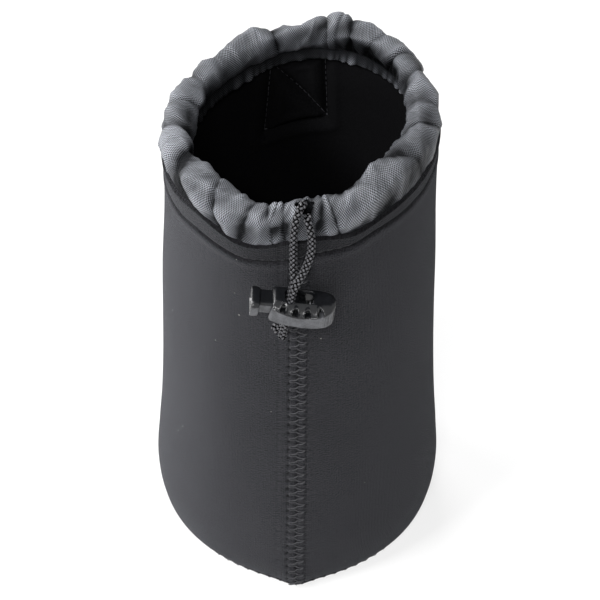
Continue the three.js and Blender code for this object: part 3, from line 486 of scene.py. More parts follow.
def knit_jersey(name, lint, sewn=False):
    """Knit jersey from the piece's own UV map, in metres; sewn adds the front seam's holes and the folds' painted
    shade.
    """
    material, node = new_material(name)
    place = node("ShaderNodeUVMap", uv_map="UVMap")
    x, y, _ = node("ShaderNodeSeparateXYZ", [place]).outputs
    wales, loops = [node(MATH, [node(MATH, [way, math.tau / (pitch / 1000)], "MULTIPLY")], "SINE")
                    for way, pitch in ((x, WALE_PITCH), (y, COURSE_PITCH))]
    loops = node(MATH, [loops, 0.4], "MULTIPLY")
    fuzz = node(NOISE, {"Vector": place, "Scale": 1500.0, "Detail": 3.0, "Roughness": 0.7})
    patches = node(NOISE, {"Vector": place, "Scale": 45.0, "Detail": 3.0})
    knit = node(MATH, [node(MATH, [wales, loops], "ADD"), 0.2], "MULTIPLY")
    fluff = node("ShaderNodeMapRange", {"Value": fuzz, "From Min": 0.38, "From Max": 0.62})
    height = node(MATH, [knit, fluff], "ADD")
    shade = node(MATH, [node(MATH, [patches, 0.3], "MULTIPLY"), node(MATH, [height, 0.7], "MULTIPLY")], "ADD")
    # Lint: some cells of a pattern have a speck at their middle
    specks = node("ShaderNodeTexVoronoi", {"Vector": place, "Scale": 110.0, "Randomness": 1.0}).outputs
    speck = node(MATH, [specks["Distance"], 0.028], "LESS_THAN")
    drawn = node(MATH, [node("ShaderNodeSeparateColor", [specks["Color"]]), 0.45], "GREATER_THAN")
    layers = [(shade, linear("#08080a"), linear("#2c2c2f")),
              (node(MATH, [speck, drawn], "MULTIPLY"), None, linear(lint))]
    # Sewn: painted shade in the needle holes, and the folds' painted shade, which scales the colour towards black
    if sewn:
        painted_fold_light = node("ShaderNodeAttribute", attribute_name="painted_fold_light").outputs["Fac"]
        layers += [(needle_holes(node, x, y), None, linear("#020202")), (painted_fold_light, (0, 0, 0, 1), None)]
    for factor, low, high in layers:
        tone = node("ShaderNodeMix", {
            "Factor": factor, 6: low or tone.outputs[2], 7: high or tone.outputs[2]}, data_type="RGBA")
    bump = node("ShaderNodeBump", {"Height": height, "Strength": 0.7, "Distance": 0.00024})
    shader = node("ShaderNodeBsdfPrincipled", {
        "Base Color": tone.outputs[2], "Roughness": 0.92, "IOR": 1.45, "Normal": bump,
        "Specular IOR Level": 0.06, "Sheen Weight": 0.12, "Sheen Roughness": 0.4, "Sheen Tint": (0.9, 0.92, 1, 1)})
    node("ShaderNodeOutputMaterial", [shader])
    return material


jersey = knit_jersey("knit_jersey_on_neoprene", "#8f8f8a", sewn=True)

# Plush lining: brushed loops that swallow the light, with a scatter of paler fibres
plush, node = new_material("brushed_plush_lining")
place = on_object(node)
pile = node(NOISE, {"Vector": place, "Scale": 2300.0, "Detail": 3.0, "Roughness": 0.75})
fibres = node(NOISE, {"Vector": place, "Scale": 900.0, "Detail": 2.0})
finish_surface(node, pile, "#030303", "#131315", {"Roughness": 0.97, "IOR": 1.45, "Specular IOR Level": 0.05},
               bump=(node(MATH, [pile, fibres], "ADD"), 0.8, 0.0003))
wall.data.materials.append(jersey)
wall.data.materials.append(plush)
outer_faces = (len(rim_drops) + len(roll) - 2) * len(wall_angles)
slots = (np.arange(len(wall.data.polygons)) >= outer_faces).astype(int)
slots[-len(wall_angles):] = 0
wall.data.polygons.foreach_set("material_index", slots)
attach(wall, "pouch")
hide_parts("body_wall")


# ---------------------------------------------------------------------------------------------
# Base: a neoprene disc with the same jersey outside. Its edge turns up and is sewn to the wall.
BASE_TURN_WIDTH = 4.6
BASE_COLUMNS = 240
EDGE_DROP = 0.35   # how far the turned-up edge reaches below the wall's own end
base_angles = np.linspace(0, 2 * np.pi, BASE_COLUMNS, endpoint=False)
edge_out = wall_place(base_angles, np.zeros(BASE_COLUMNS), 0.35)
edge_in = wall_place(base_angles, np.zeros(BASE_COLUMNS), WALL_THICKNESS)
low_size = WALL_SHARES[0, 1:] * [RIM_HALF_WIDTH, RIM_HALF_DEPTH]


def base_ring(inset, z):
    """A ring of the base's flat part."""
    return round_place(low_size[0] - inset, low_size[1] - inset, base_angles, np.full(BASE_COLUMNS, z))


edge_out[:, 2] -= EDGE_DROP
edge_in[:, 2] -= EDGE_DROP
base_rows = [base_ring(inset, 0.0) for inset in np.linspace(low_size[0] - 0.4, BASE_TURN_WIDTH + 3, 12)]
base_rows.append(base_ring(BASE_TURN_WIDTH + 0.6, 0.0))
flat_edge = base_ring(BASE_TURN_WIDTH, 0.12)
for mix in np.linspace(0, 1, 6):
    row = flat_edge * (1 - mix) + edge_out * mix
    row[:, 2] -= 0.12 * math.sin(math.pi * mix)
    base_rows.append(row)
base_rows += [edge_out * (1 - mix) + edge_in * mix for mix in np.linspace(0, 1, 5)[1:]]
outside_rows = len(base_rows) - 1
base_rows += [base_ring(inset, WALL_THICKNESS - 0.05)
              for inset in np.linspace(BASE_TURN_WIDTH + 1.4, low_size[0] - 0.4, 12)]
base_points = np.array(base_rows)
base = grid_mesh("neoprene_base", base_points, base_points[..., :2], wrap_rows=True)
base.data.materials.append(knit_jersey("knit_jersey_on_base", "#98989c"))
base.data.materials.append(plush)
slots = (np.arange(len(base.data.polygons)) >= outside_rows * BASE_COLUMNS).astype(int)
base.data.polygons.foreach_set("material_index", slots)
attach(base, "pouch")
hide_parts("base_disc")


# ---------------------------------------------------------------------------------------------
# Collar: a band of plain-woven nylon folded over the drawcord, sewn inside the wall's top edge and
# drawn in, so that it stands in uneven puffs with creases between them. Its cut edge hangs inside.
# Tables are of degrees round from the front and a value there
BULB_RISE = 6.5
BULB_RISE_SHARES = [
    (-155, 1), (-130, 0.7), (-105, 1), (-80, 1.15), (-54, 1.08), (-37, 0.92), (-22, 1.2), (-8, 0.95), (8, 1.02),
    (22, 1.35), (45, 1.65), (61, 1.42), (90, 0.85), (115, 0.77), (140, 0.8), (155, 1.23), (168, 1.15), (180, 0.7)]
BULB_LEAN = 1.4
BULB_RADIUS = 4.8
HEM_DROP = [
    (-180, 5), (-166, 5.2), (-146, 8), (-127, 8.3), (-90, 8), (0, 8), (90, 5.5), (114, 4.6), (143, 5.4), (168, 4.9)]
# Pinched creases and the puffs that follow them: degrees, crease depth, slant across the cloth in
# degrees, and how far the next puff stands out
GATHERS = [
    (-165, 3.2, -4, 1.3), (-135, 1.7, 3, 1.0), (-121, 3.6, 6, 1.5), (-103, 1.7, -5, 0.6), (-87, 1.2, 5, 1.1),
    (-68, 3.4, -12, 1.0), (-41, 3.2, -9, 1.3), (-22.5, 2.6, 2, 0.6), (-14.6, 2.2, -5, 0.3),
    (-11, 2.0, 3.5, 0.9), (-7.7, 2.2, -3, 0.5), (10, 1.8, 4, 0.5), (13.2, 2.4, -4, 0.7), (30, 1.5, -14, 0.5),
    (50, 1.6, -12, 0.5), (75, 1.8, -10, 0.6), (92, 1.6, 8, 0.8), (111, 2.9, -6, 0.8),
    (125, 2.5, 5, 0.9), (140, 1.2, 6, 0.9), (155, 2.2, -2, 0.6), (161, 2.4, 2, 1.5), (167, 3.4, -2, -0.4)]
BULB_DEPTH_SHARES = [(-180, 0.66), (-150, 0.74), (-110, 0.95), (-60, 1), (60, 1), (110, 0.95), (150, 0.78)]
CREASE_SHARPNESS = 0.75
HEM_RUFFLE = 0.7
# Painted light round the collar: a factor on the cloth's colour, lighter at the back and the left and darker at the
# right
PAINTED_LIGHT_ROUND = [
    (-180, 1.3), (-150, 1.05), (-80, 1.16), (-40, 1.02), (0, 1.0), (40, 0.86), (90, 0.88), (140, 0.96), (168, 1.2)]
# How much longer the simulated cloth and the weave's map are than the ring. Not all of it becomes folds: the flat
# length is the rim's and about 15% for the gathers that show.
FULLNESS = 1.35
collar_angles = np.linspace(-np.pi, np.pi, 640, endpoint=False)
collar_degrees = np.degrees(collar_angles) % 360
phi = np.radians(np.linspace(-82, 262, 47))


def squared(wave, power):
    """A wave drawn towards a square one."""
    return np.sign(wave) * np.abs(wave) ** power


def collar_surface(angle, kind, t):
    """The cloth's middle: out from the wall's inner face and up from the rim, and how free it is."""
    level = np.zeros_like(angle)
    if kind == "outer":
        return level - 0.75, level - 1.2 - 6.0 * t, level
    if kind == "inner":
        return level + (-2.1 - 0.3 * t), -0.9 - (round_table(HEM_DROP, angle) - 0.9) * t, level + 0.25
    rise = BULB_RISE * round_table(BULB_RISE_SHARES, angle)
    belly = (np.sin(t) < 0) & (np.cos(t) > 0)
    round_out = squared(np.cos(t), np.where(belly, 0.22, 1.0))
    out = -BULB_LEAN + BULB_RADIUS * round_out * round_table(BULB_DEPTH_SHARES, angle)
    up = rise + np.where(np.sin(t) > 0, BULB_RADIUS, rise + 0.6) * np.sin(t)
    return out, up, np.clip((up + 0.6) / 3, 0, 1)


def gathers(angle, level):
    """Outward height of the puffs and creases; level runs 0 to 1 across the cloth."""
    table = np.array(GATHERS)
    degrees = table[:, 0] + table[:, 2] * (level - 0.5) * 2
    order = np.argsort(degrees)
    degrees, depth, stand = degrees[order], table[order, 1], table[order, 3]
    degrees = np.r_[degrees[-1] - 360, degrees, degrees[0] + 360]
    depth, stand = np.r_[depth[-1], depth, depth[0]], np.r_[stand[-1], stand, stand[0]]
    waver = 0.8 * ripple(np.full_like(angle, level * 3), angle * 9, 21)
    here = np.degrees(angle) + waver
    here = np.where(here < degrees[0], here + 360, np.where(here >= degrees[-1], here - 360, here))
    k = np.clip(np.searchsorted(degrees, here, side="right") - 1, 0, len(degrees) - 2)
    u = np.clip((here - degrees[k]) / np.maximum(degrees[k + 1] - degrees[k], 0.5), 0, 1)
    # Each puff leans its own way
    u = u ** np.where(k % 3 == 0, 1.7, np.where(k % 3 == 1, 0.6, 0.85))
    puff = (4 * u * (1 - u)) ** CREASE_SHARPNESS
    # Some creases run right across, some start at the outer seam and some at the inner one, and fade out
    from_outside, from_inside = np.clip(1.35 - 1.5 * level, 0, 1), np.clip(2.2 * level - 0.35, 0, 1)
    reach = [np.where(n % 5 < 2, 1.0, np.where(n % 5 < 4, from_outside, from_inside)) for n in (k, k + 1)]
    puff = 1 - (1 - puff) * (reach[0] * (1 - u) + reach[1] * u)
    total = -(depth[k] * (1 - u) + depth[k + 1] * u) * (1 - puff) * 0.5 + 0.55 * stand[k] * puff
    # Folds on the puffs, small crumples, pleats at both seams, and ridges along the band
    folds = 0.6 - np.abs(ripple(angle, level * 0.7, 22, count=3, low=7, high=19)) ** 0.8
    small = 0.5 - np.abs(ripple(angle, level * 0.6, 23, count=4, low=19, high=43))
    pleats = ripple(angle, level * 1.5, 24, count=4, low=70, high=95)
    near_seam = np.exp(-level / 0.16) + np.exp(-(1 - level) / 0.16)
    lengthwise = 0.45 - np.abs(ripple(angle, level * 2.2, 27, count=3, low=2, high=6)) ** 0.8
    crumpled = 0.3 + 0.45 * bell(np.degrees(angle), 20)
    ridged = 1.0 + 0.9 * bell(np.degrees(angle) - 135, 30) + 0.5 * bell(np.degrees(angle) + 75, 30)
    return total + 1.1 * folds * puff + ridged * lengthwise + crumpled * small + 0.25 * pleats * near_seam


def collar_ring(out, up):
    """Half width, half depth and height of a ring of cloth, out from the wall's inner face and up from the rim."""
    half_width, half_depth = RIM_HALF_WIDTH - WALL_THICKNESS + out, RIM_HALF_DEPTH - WALL_THICKNESS + out
    return half_width, half_depth, BODY_HEIGHT + rim_rise(collar_angles) + up


# Rows from the outer seam over the drawcord to the hem: the surface, its outward way and its level
rows = [(collar_surface(collar_angles, "outer", t), (1, 0), 0.0) for t in np.linspace(1, 0, 3)]
rows += [(collar_surface(collar_angles, "bulb", t), (math.cos(t), math.sin(t)), i / (len(phi) - 1))
         for i, t in enumerate(phi)]
hem_start, hem_share = len(rows), np.linspace(0, 1, 9)
rows += [(collar_surface(collar_angles, "inner", t), (-1, 0), 1.0) for t in hem_share]
# Painted light and shade on the cloth's colour, as if from the light that the folds let in: darker in creases and
# inside the mouth, lighter on the puffs, and a painted highlight on stretches of the hem
crease_shade = 0.85 - 0.45 * bell(collar_degrees - 215, 50)
at_back = bell(collar_degrees - 181, 16)
painted_light_round = round_table(PAINTED_LIGHT_ROUND, collar_angles)
ruffle = np.abs(ripple(collar_angles, np.zeros(1), 31, count=5, low=13, high=61))
hem_light = 2.6 * bell(collar_degrees - 138, 26) + 1.5 * bell(collar_degrees - 216, 17)
collar_points, lengths, shades = [], [0.0], []
for row_number, ((out, up, free), (n_out, n_up), level) in enumerate(rows):
    height = gathers(collar_angles, level)
    push = height * free
    inside = np.clip((level - 0.58 - 0.16 * at_back) / 0.3, 0, 1)
    shade = np.clip(0.82 + crease_shade * height, 0.12, 1.7) * (1 - 0.78 * inside) * painted_light_round
    if row_number >= hem_start:
        down = hem_share[row_number - hem_start]
        push = push * (1 - down) + (0.3 + HEM_RUFFLE * ruffle) * down ** 1.5
        up = up - 0.5 * ruffle * down
        # The hem lies in painted shade, with painted highlights where it ruffles
        shade = 0.15 + hem_light * down ** 2 * ruffle ** 1.5
    shades.append(shade)
    half_width, half_depth, z = collar_ring(out + push * n_out, up + push * n_up)
    collar_points.append(round_place(half_width, half_depth, collar_angles, z))
    if row_number:
        lengths.append(lengths[-1] + float(np.mean(np.linalg.norm(collar_points[-1] - collar_points[-2], axis=1))))
collar_points = np.array(collar_points)
# The cloth is cut longer than the ring that it is sewn to, so it buckles between its two seams.
# Every other row and column is simulated, ten times as large, and its movement is given to all.
SIM_SCALE, SIM_FRAMES, SIM_CAP = 10.0, 20, 2.5   # the cap is the most that a point may move, in mm
sewn_shape = collar_points[::2, ::2]
flat_shape = []
for (out, up, _), _, _ in rows[::2]:
    half_width, half_depth, z = collar_ring(out, up)
    flat_shape.append(round_place(half_width * FULLNESS, half_depth * FULLNESS, collar_angles, z)[::2])
doll = grid_mesh("collar_cloth", sewn_shape * SIM_SCALE, np.zeros(sewn_shape.shape[:2] + (2,)))
doll.shape_key_add(name="sewn")
cut = doll.shape_key_add(name="cut")
cut.data.foreach_set("co", (np.array(flat_shape).reshape(-1, 3) / 1000 * SIM_SCALE).ravel())
held = doll.vertex_groups.new(name="held")
columns = sewn_shape.shape[1]
first_two, last_two = range(columns * 2), range(columns * (len(sewn_shape) - 2), columns * len(sewn_shape))
held.add([*first_two, *last_two], 1.0, "REPLACE")
cloth_modifier = doll.modifiers.new("cloth", "CLOTH")
settings = cloth_modifier.settings
settings.rest_shape_key = cut
settings.vertex_group_mass = "held"
settings.quality = 8
settings.mass = 0.15
settings.tension_stiffness = settings.compression_stiffness = 25
settings.shear_stiffness = 8
settings.bending_stiffness = 0.08
settings.use_pressure = True
settings.use_pressure_volume = False
settings.uniform_pressure_force = 0.5
settings.effector_weights.gravity = 0
cloth_modifier.collision_settings.use_collision = False
cloth_modifier.point_cache.frame_start = 1
cloth_modifier.point_cache.frame_end = SIM_FRAMES
for frame_number in range(1, SIM_FRAMES + 1):
    bpy.context.scene.frame_set(frame_number)
settled = doll.evaluated_get(bpy.context.evaluated_depsgraph_get()).to_mesh()
moved = np.empty(len(settled.vertices) * 3)
settled.vertices.foreach_get("co", moved)
move = moved.reshape(sewn_shape.shape) / SIM_SCALE * 1000 - sewn_shape
far = np.linalg.norm(move, axis=-1, keepdims=True)
move *= np.minimum(1, SIM_CAP / np.maximum(far, 1e-9))
bpy.context.scene.frame_set(1)
bpy.data.objects.remove(doll)
wide = np.empty((move.shape[0], move.shape[1] * 2, 3))
wide[:, ::2], wide[:, 1::2] = move, (move + np.roll(move, -1, 1)) / 2
collar_points[::2] += wide
collar_points[1::2] += (wide[:-1] + wide[1:]) / 2
collar_uv = np.stack(np.meshgrid(collar_angles * RIM_HALF_DEPTH * FULLNESS, lengths), -1)
collar = grid_mesh("gathered_collar", collar_points, collar_uv)
collar.data.attributes.new("painted_fold_light", "FLOAT", "POINT").data.foreach_set("value", np.array(shades).ravel())

# Plain-woven nylon: smooth black filament yarn with a soft shine that flecks where the yarns cross; the flecks are
# painted glints, a lighter colour where one yarn lies over the other. The yarns are 0.35 mm apart in fact and drawn
# at 0.5 mm, so that the weave shows.
YARN_PITCH = 0.5
woven_nylon, node = new_material("woven_nylon")
place = node("ShaderNodeUVMap", uv_map="UVMap")
wander = node(NOISE, {"Vector": place, "Scale": 60.0, "Detail": 2.0}).outputs["Color"]
shifted = node(VECTOR, [place, node(VECTOR, {0: wander, "Scale": 0.0012}, "SCALE")], "ADD")
x, y, _ = node("ShaderNodeSeparateXYZ", [shifted]).outputs
waves = [node(MATH, [node(MATH, [way, math.pi / (YARN_PITCH / 1000)], "MULTIPLY")], "SINE") for way in (x, y)]
crossing = node(MATH, waves, "MULTIPLY")
gap = node(MATH, [node(MATH, [wave], "ABSOLUTE") for wave in waves], "MULTIPLY")
gap = node(MATH, [1.0, gap], "SUBTRACT")
grain = node(NOISE, {"Vector": place, "Scale": 1300.0, "Detail": 2.0})
faded = node(NOISE, {"Vector": place, "Scale": 70.0, "Detail": 3.0})
level = node(MATH, [node(MATH, [crossing, 2.6], "MULTIPLY"), node(MATH, [grain, 0.6], "MULTIPLY")], "ADD")
level = node(MATH, [level, node(MATH, [faded, 0.2], "MULTIPLY")], "ADD")
tone = node("ShaderNodeMix", {"Factor": level, 6: linear("#020203"), 7: linear("#777a81")}, data_type="RGBA")
# The folds' painted light and shade scale the cloth's colour and its specular level
painted_fold_light = node("ShaderNodeAttribute", attribute_name="painted_fold_light").outputs["Fac"]
tone = node(VECTOR, {0: tone.outputs[2], "Scale": painted_fold_light}, "SCALE")
height = node(MATH, [node(MATH, [crossing, 0.5], "MULTIPLY"), node(MATH, [gap, -0.5], "MULTIPLY")], "ADD")
crumples = node(NOISE, {
    "Vector": node(VECTOR, [place, (150.0, 75.0, 0.0)], "MULTIPLY"), "Scale": 1.0, "Detail": 3.0,
    "Roughness": 0.5, "Distortion": 0.9}, noise_type="RIDGED_MULTIFRACTAL")
creased = node("ShaderNodeBump", {"Height": crumples, "Strength": 0.85, "Distance": 0.0018})
bump = node("ShaderNodeBump", {"Height": height, "Strength": 1.0, "Distance": 0.0003, "Normal": creased})
shader = node("ShaderNodeBsdfPrincipled", {
    "Base Color": tone, "Roughness": 0.55, "IOR": 1.55, "Normal": bump,
    "Specular IOR Level": node(MATH, [painted_fold_light, 0.28], "MULTIPLY")})
node("ShaderNodeOutputMaterial", [shader])
collar.data.materials.append(woven_nylon)

# The slit: cloth taken away where the cord comes out, in an ellipse on the front of the bulb (metres)
SLIT_X, SLIT_Y, SLIT_HALF_WIDTH, SLIT_HALF_DEPTH = 0.0016, -0.0426, 0.0031, 0.0030
cloth = bmesh.new()
cloth.from_mesh(collar.data)
gone = []
for face in cloth.faces:
    x, y, z = face.calc_center_median()
    if y < -0.038 and z > 0.2 and ((x - SLIT_X) / SLIT_HALF_WIDTH) ** 2 + ((y - SLIT_Y) / SLIT_HALF_DEPTH) ** 2 < 1:
        gone.append(face)
bmesh.ops.delete(cloth, geom=gone, context="FACES")
cloth.to_mesh(collar.data)
cloth.free()
collar.data.polygons.foreach_set("use_smooth", [True] * len(collar.data.polygons))
CLOTH_THICKNESS = 0.0005
thick = collar.modifiers.new("cloth", "SOLIDIFY")
thick.thickness = CLOTH_THICKNESS
thick.offset = 0
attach(collar, "pouch")
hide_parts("collar")

# Drawcord ring: the same cord inside the channel; only its ends show in the slit
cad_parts["drawcord_ring"].data.materials.clear()
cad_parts["drawcord_ring"].data.materials.append(braided_polyester)


# ---------------------------------------------------------------------------------------------
# Cord lock: two glossy black mouldings and a wire spring. The barrel has the cord hole, a flange and
# arched windows and closes over the spring; the plunger slides in it and grips the cord.
moulded_plastic, node = new_material("moulded_acetal")
place = on_object(node)
cloudy = node(NOISE, {"Vector": place, "Scale": 260.0, "Detail": 3.0})
scuffs = node(NOISE, {"Vector": place, "Scale": 1400.0, "Detail": 2.0})
rough = node("ShaderNodeMapRange", {"Value": cloudy, "To Min": 0.16, "To Max": 0.3})
finish_surface(node, scuffs, "#08090a", "#1c1d20", {"Roughness": rough, "IOR": 1.48, "Specular IOR Level": 0.4},
               bump=(scuffs, 0.06, 0.0001))

# The flange's and the plunger's faces are spark-eroded, a fine matt texture; their grey colour is a painted sheen
# for the light that these front faces catch, with lighter rubbed patches of wear
frosted_painted_sheen_plastic, node = new_material("spark_eroded_acetal_painted_sheen")
place = on_object(node)
frost = node(NOISE, {"Vector": place, "Scale": 3000.0, "Detail": 3.0})
rubbed = node(NOISE, {"Vector": place, "Scale": 320.0, "Detail": 3.0})
wear_and_painted_sheen = node(MATH, [node(MATH, [rubbed, 1.2], "MULTIPLY"), node(MATH, [frost, 0.6], "SUBTRACT")], "ADD")
finish_surface(node, wear_and_painted_sheen, "#0f1012", "#5c5d61", {"Roughness": 0.5, "IOR": 1.48}, bump=(frost, 0.4, 0.00015))

# The spring's wire is drawn through dies, which leaves it bright with faint, uneven streaks
spring_steel, node = new_material("drawn_spring_steel")
drawn = node(NOISE, {"Vector": on_object(node), "Scale": 3000.0})
rough = node("ShaderNodeMapRange", {"Value": drawn, "To Min": 0.22, "To Max": 0.4})
shader = node("ShaderNodeBsdfPrincipled", {
    "Base Color": linear("#c9cacc"), "Roughness": rough, "Metallic": 1.0})
node("ShaderNodeOutputMaterial", [shader])

LOCK_PLACE = np.array([-2.95, -54.5, 169.9])
LOCK_TILT = math.radians(8.5)
BARREL_HALF_HEIGHT = 3.7
WINDOWS = [(-2.4, 2.3), (1.7, 1.75), (5.8, 1.75), (10.0, 2.25)]   # along the lock, and the middle's height
WINDOW_HALF_WIDTH, WINDOW_HALF_HEIGHT = 0.95, 1.15
# Left, right, front and back sides
CORD_HOLE, PLUNGER_BORE = (-1.7, 7.6, -1.95, 3.25), (-16.0, 12.0, -3.3, 4.05)
PLUNGER_HOLE, SPRING_SEAT = (-5.6, 1.7, -2.2, 3.25), (2.7, 9.0, -6.0, 6.0)


def lock_mesh(name, points):
    """A closed moulding from rings of points in the lock's own axes."""
    x, y, z = np.moveaxis(points, -1, 0)
    turned = np.stack([x * math.cos(LOCK_TILT) + z * math.sin(LOCK_TILT), y,
                       z * math.cos(LOCK_TILT) - x * math.sin(LOCK_TILT)], -1) + LOCK_PLACE
    piece = grid_mesh(name, turned, np.zeros(points.shape[:2] + (2,)))
    moulding = bmesh.new()
    moulding.from_mesh(piece.data)
    bmesh.ops.remove_doubles(moulding, verts=moulding.verts, dist=0.000002)
    bmesh.ops.holes_fill(moulding, edges=[e for e in moulding.edges if e.is_boundary])
    bmesh.ops.recalc_face_normals(moulding, faces=moulding.faces)
    moulding.to_mesh(piece.data)
    moulding.free()
    return piece


CUTTER_POINTS, CUTTER_SQUARENESS = 96, 0.45


def slot_cutter(name, sides, levels):
    """A tapering slot cutter: levels are pairs of height and how much wider it is there."""
    left, right, front, back = sides
    around = np.linspace(0, 2 * np.pi, CUTTER_POINTS, endpoint=False)
    px, py = squared(np.cos(around), CUTTER_SQUARENESS), squared(np.sin(around), CUTTER_SQUARENESS)
    rings = []
    for z, wider in levels:
        rings.append(np.stack([(left + right) / 2 + px * ((right - left) / 2 + wider),
                               (front + back) / 2 + py * ((back - front) / 2 + wider),
                               np.full(CUTTER_POINTS, float(z))], -1))
    return lock_mesh(name, np.array(rings))


def carve(piece, cutters):
    """Cuts the cutters out of a piece and takes them away."""
    for cutter in cutters:
        cut_out = piece.modifiers.new("cut", "BOOLEAN")
        cut_out.object = cutter
        cut_out.operation = "DIFFERENCE"
        cut_out.solver = "EXACT"
    bpy.context.view_layer.update()
    carved = bpy.data.meshes.new_from_object(piece.evaluated_get(bpy.context.evaluated_depsgraph_get()))
    piece.modifiers.clear()
    # A cut leaves a few faces back to back, which enclose nothing
    trimmed = bmesh.new()
    trimmed.from_mesh(carved)
    bmesh.ops.triangulate(trimmed, faces=trimmed.faces)
    twins = {}
    for face in trimmed.faces:
        twins.setdefault(frozenset(face.verts), []).append(face)
    bmesh.ops.delete(trimmed, geom=[f for pair in twins.values() if len(pair) > 1 for f in pair], context="FACES")
    trimmed.to_mesh(carved)
    trimmed.free()
    piece.data = carved
    carved.name = piece.name
    for cutter in cutters:
        bpy.data.objects.remove(cutter)
    carved.materials.clear()
    carved.materials.append(moulded_plastic)
    carved.materials.append(frosted_painted_sheen_plastic)
    carved.polygons.foreach_set("use_smooth", [True] * len(carved.polygons))
    carved.set_sharp_from_angle(angle=math.radians(38))


def frost_faces(piece, chosen):
    """Gives the frosted texture and its painted grey sheen to the outward faces that chosen(x, y, z) picks in the
    lock's own axes.
    """
    for face in piece.data.polygons:
        x, y, z = np.array(face.center) * 1000 - LOCK_PLACE
        along = x * math.cos(LOCK_TILT) - z * math.sin(LOCK_TILT)
        height = z * math.cos(LOCK_TILT) + x * math.sin(LOCK_TILT)
        face.material_index = int(chosen(along, y, height))


# Barrel: seen from above it is square at the plunger's side and round at the other. The cap's lower
# edge hangs in a bow over a band, which is deeper at both ends.
BARREL_PLAN = [
    (-5.8, -4.4), (-2.5, -5.3), (0.5, -5.8), (4.5, -6.1), (8.5, -5.9), (11.8, -5.1), (13.9, -3.4), (14.8, -1.0),
    (14.8, 1.4), (13.4, 3.8), (10.5, 4.9), (6, 5), (0, 5), (-5.8, 4.8)]
BARREL_MIDDLE = np.array([4.5, -0.5])
BARREL_HALF = np.array([10.3, 5.5])
# How high the cap is, from its top down to its lower edge, and how far it is drawn in there
CAP_PROFILE = [
    (1.0, 4.0), (0.99, 3.75), (0.965, 3.45), (0.92, 3.05), (0.86, 2.6), (0.78, 2.15), (0.69, 1.7), (0.6, 1.3),
    (0.5, 0.92), (0.4, 0.6), (0.3, 0.33), (0.2, 0.13), (0.1, 0.02), (0.04, 0.0), (0.0, 0.06)]
PLAN_POINTS = 440
closed = np.array(BARREL_PLAN + BARREL_PLAN[:1])
run = np.r_[0, np.cumsum(np.linalg.norm(np.diff(closed, axis=0), axis=1))]
stops = np.linspace(0, run[-1], PLAN_POINTS, endpoint=False)
plan = np.stack([np.interp(stops, run, closed[:, k]) for k in (0, 1)], -1)
for _ in range(60):   # rounds the outline's corners
    plan = (np.roll(plan, 1, 0) + 2 * plan + np.roll(plan, -1, 0)) / 4
plan_x, plan_y = plan.T


def inset_plan(inset, ends=0.3, back=0.3):
    """The barrel's outline drawn in by a distance at the front, and by shares of it at the ends and the back."""
    share_y = np.where(plan_y < BARREL_MIDDLE[1], 1, back)
    shares = np.stack([np.full(PLAN_POINTS, float(ends)), share_y], -1)
    return BARREL_MIDDLE + (plan - BARREL_MIDDLE) * (1 - inset * shares / BARREL_HALF)


# The cap's lower edge, higher at both ends, and the rounding from the top down to it, with a raised
# rim round each window
cap_edge = 0.8 + 2.5 * np.clip((plan_x - 4.5) / 10.3, 0, 1) ** 1.5 + 1.5 * np.clip((3 - plan_x) / 9, 0, 1) ** 1.6
front_points = np.where(plan_y < BARREL_MIDDLE[1])[0]
cap_line = np.stack([plan_x, cap_edge], -1)[front_points[np.argsort(plan_x[front_points])]]
rings = [np.c_[inset_plan(inset), np.full(PLAN_POINTS, BARREL_HALF_HEIGHT)] for inset in (5.0, 4.6, 4.3)]
for step in np.linspace(0, len(CAP_PROFILE) - 1, 42):
    height_share, inset = [np.interp(step, range(len(CAP_PROFILE)), [r[k] for r in CAP_PROFILE]) for k in (0, 1)]
    z = cap_edge + (BARREL_HALF_HEIGHT - cap_edge) * height_share
    rim = np.zeros(PLAN_POINTS)
    for along, height in WINDOWS:
        size = (np.abs((plan_x - along) / WINDOW_HALF_WIDTH) ** 2.4
                + np.abs((z - height) / WINDOW_HALF_HEIGHT) ** 2.8) ** (1 / 2.6)
        rim = np.maximum(rim, (plan_y < -2.5) * 0.34 * bell(size - 1.18, 0.2))
    rings.append(np.c_[inset_plan(inset) - np.stack([0 * rim, rim], -1), z + 0.6 * rim])
# The seam between cap and band, the band with its grip ribs, and the flat underside
for inset, below in ((0.25, -0.1), (0.3, -0.28), (0.1, -0.4), (-0.05, -0.55), (-0.1, -0.8)):
    rings.append(np.c_[inset_plan(inset, 1, 1), cap_edge + below])
for share_down in (0.2, 0.4, 0.6, 0.8, 0.93):
    grip = 0.3 * np.abs(np.sin(plan_x * 3.2)) * (plan_x > 11.3) * (plan_y < -1) * math.sin(math.pi * share_down)
    rings.append(np.c_[inset_plan(-0.1 - 0.45 * share_down, 1, 1) + np.stack([0 * grip, grip], -1),
                       (cap_edge - 0.8) * (1 - share_down) - 3.1 * share_down])
for inset, z in ((-0.5, -3.3), (-0.25, -3.5), (0.2, -3.63), (0.8, -3.68)):
    rings.append(np.c_[inset_plan(inset, 1, 1), np.full(PLAN_POINTS, z)])
rings += [np.c_[inset_plan(inset, 1, 1), np.full(PLAN_POINTS, -BARREL_HALF_HEIGHT)] for inset in (1.6, 3.0, 5.0)]
barrel = lock_mesh("moulded_barrel", np.array(rings))
window_cutters = []
arch = np.linspace(0, 2 * np.pi, 40, endpoint=False)
for number, (along, height) in enumerate(WINDOWS):
    arch_x = along + WINDOW_HALF_WIDTH * squared(np.cos(arch), 0.8)
    arch_z = height + WINDOW_HALF_HEIGHT * squared(np.sin(arch), np.where(np.sin(arch) > 0, 0.9, 0.5))
    window_cutters.append(lock_mesh("window_%d" % number, np.array(
        [np.stack([arch_x, np.full(len(arch), y), arch_z], -1) for y in (-9.0, -0.8)])))
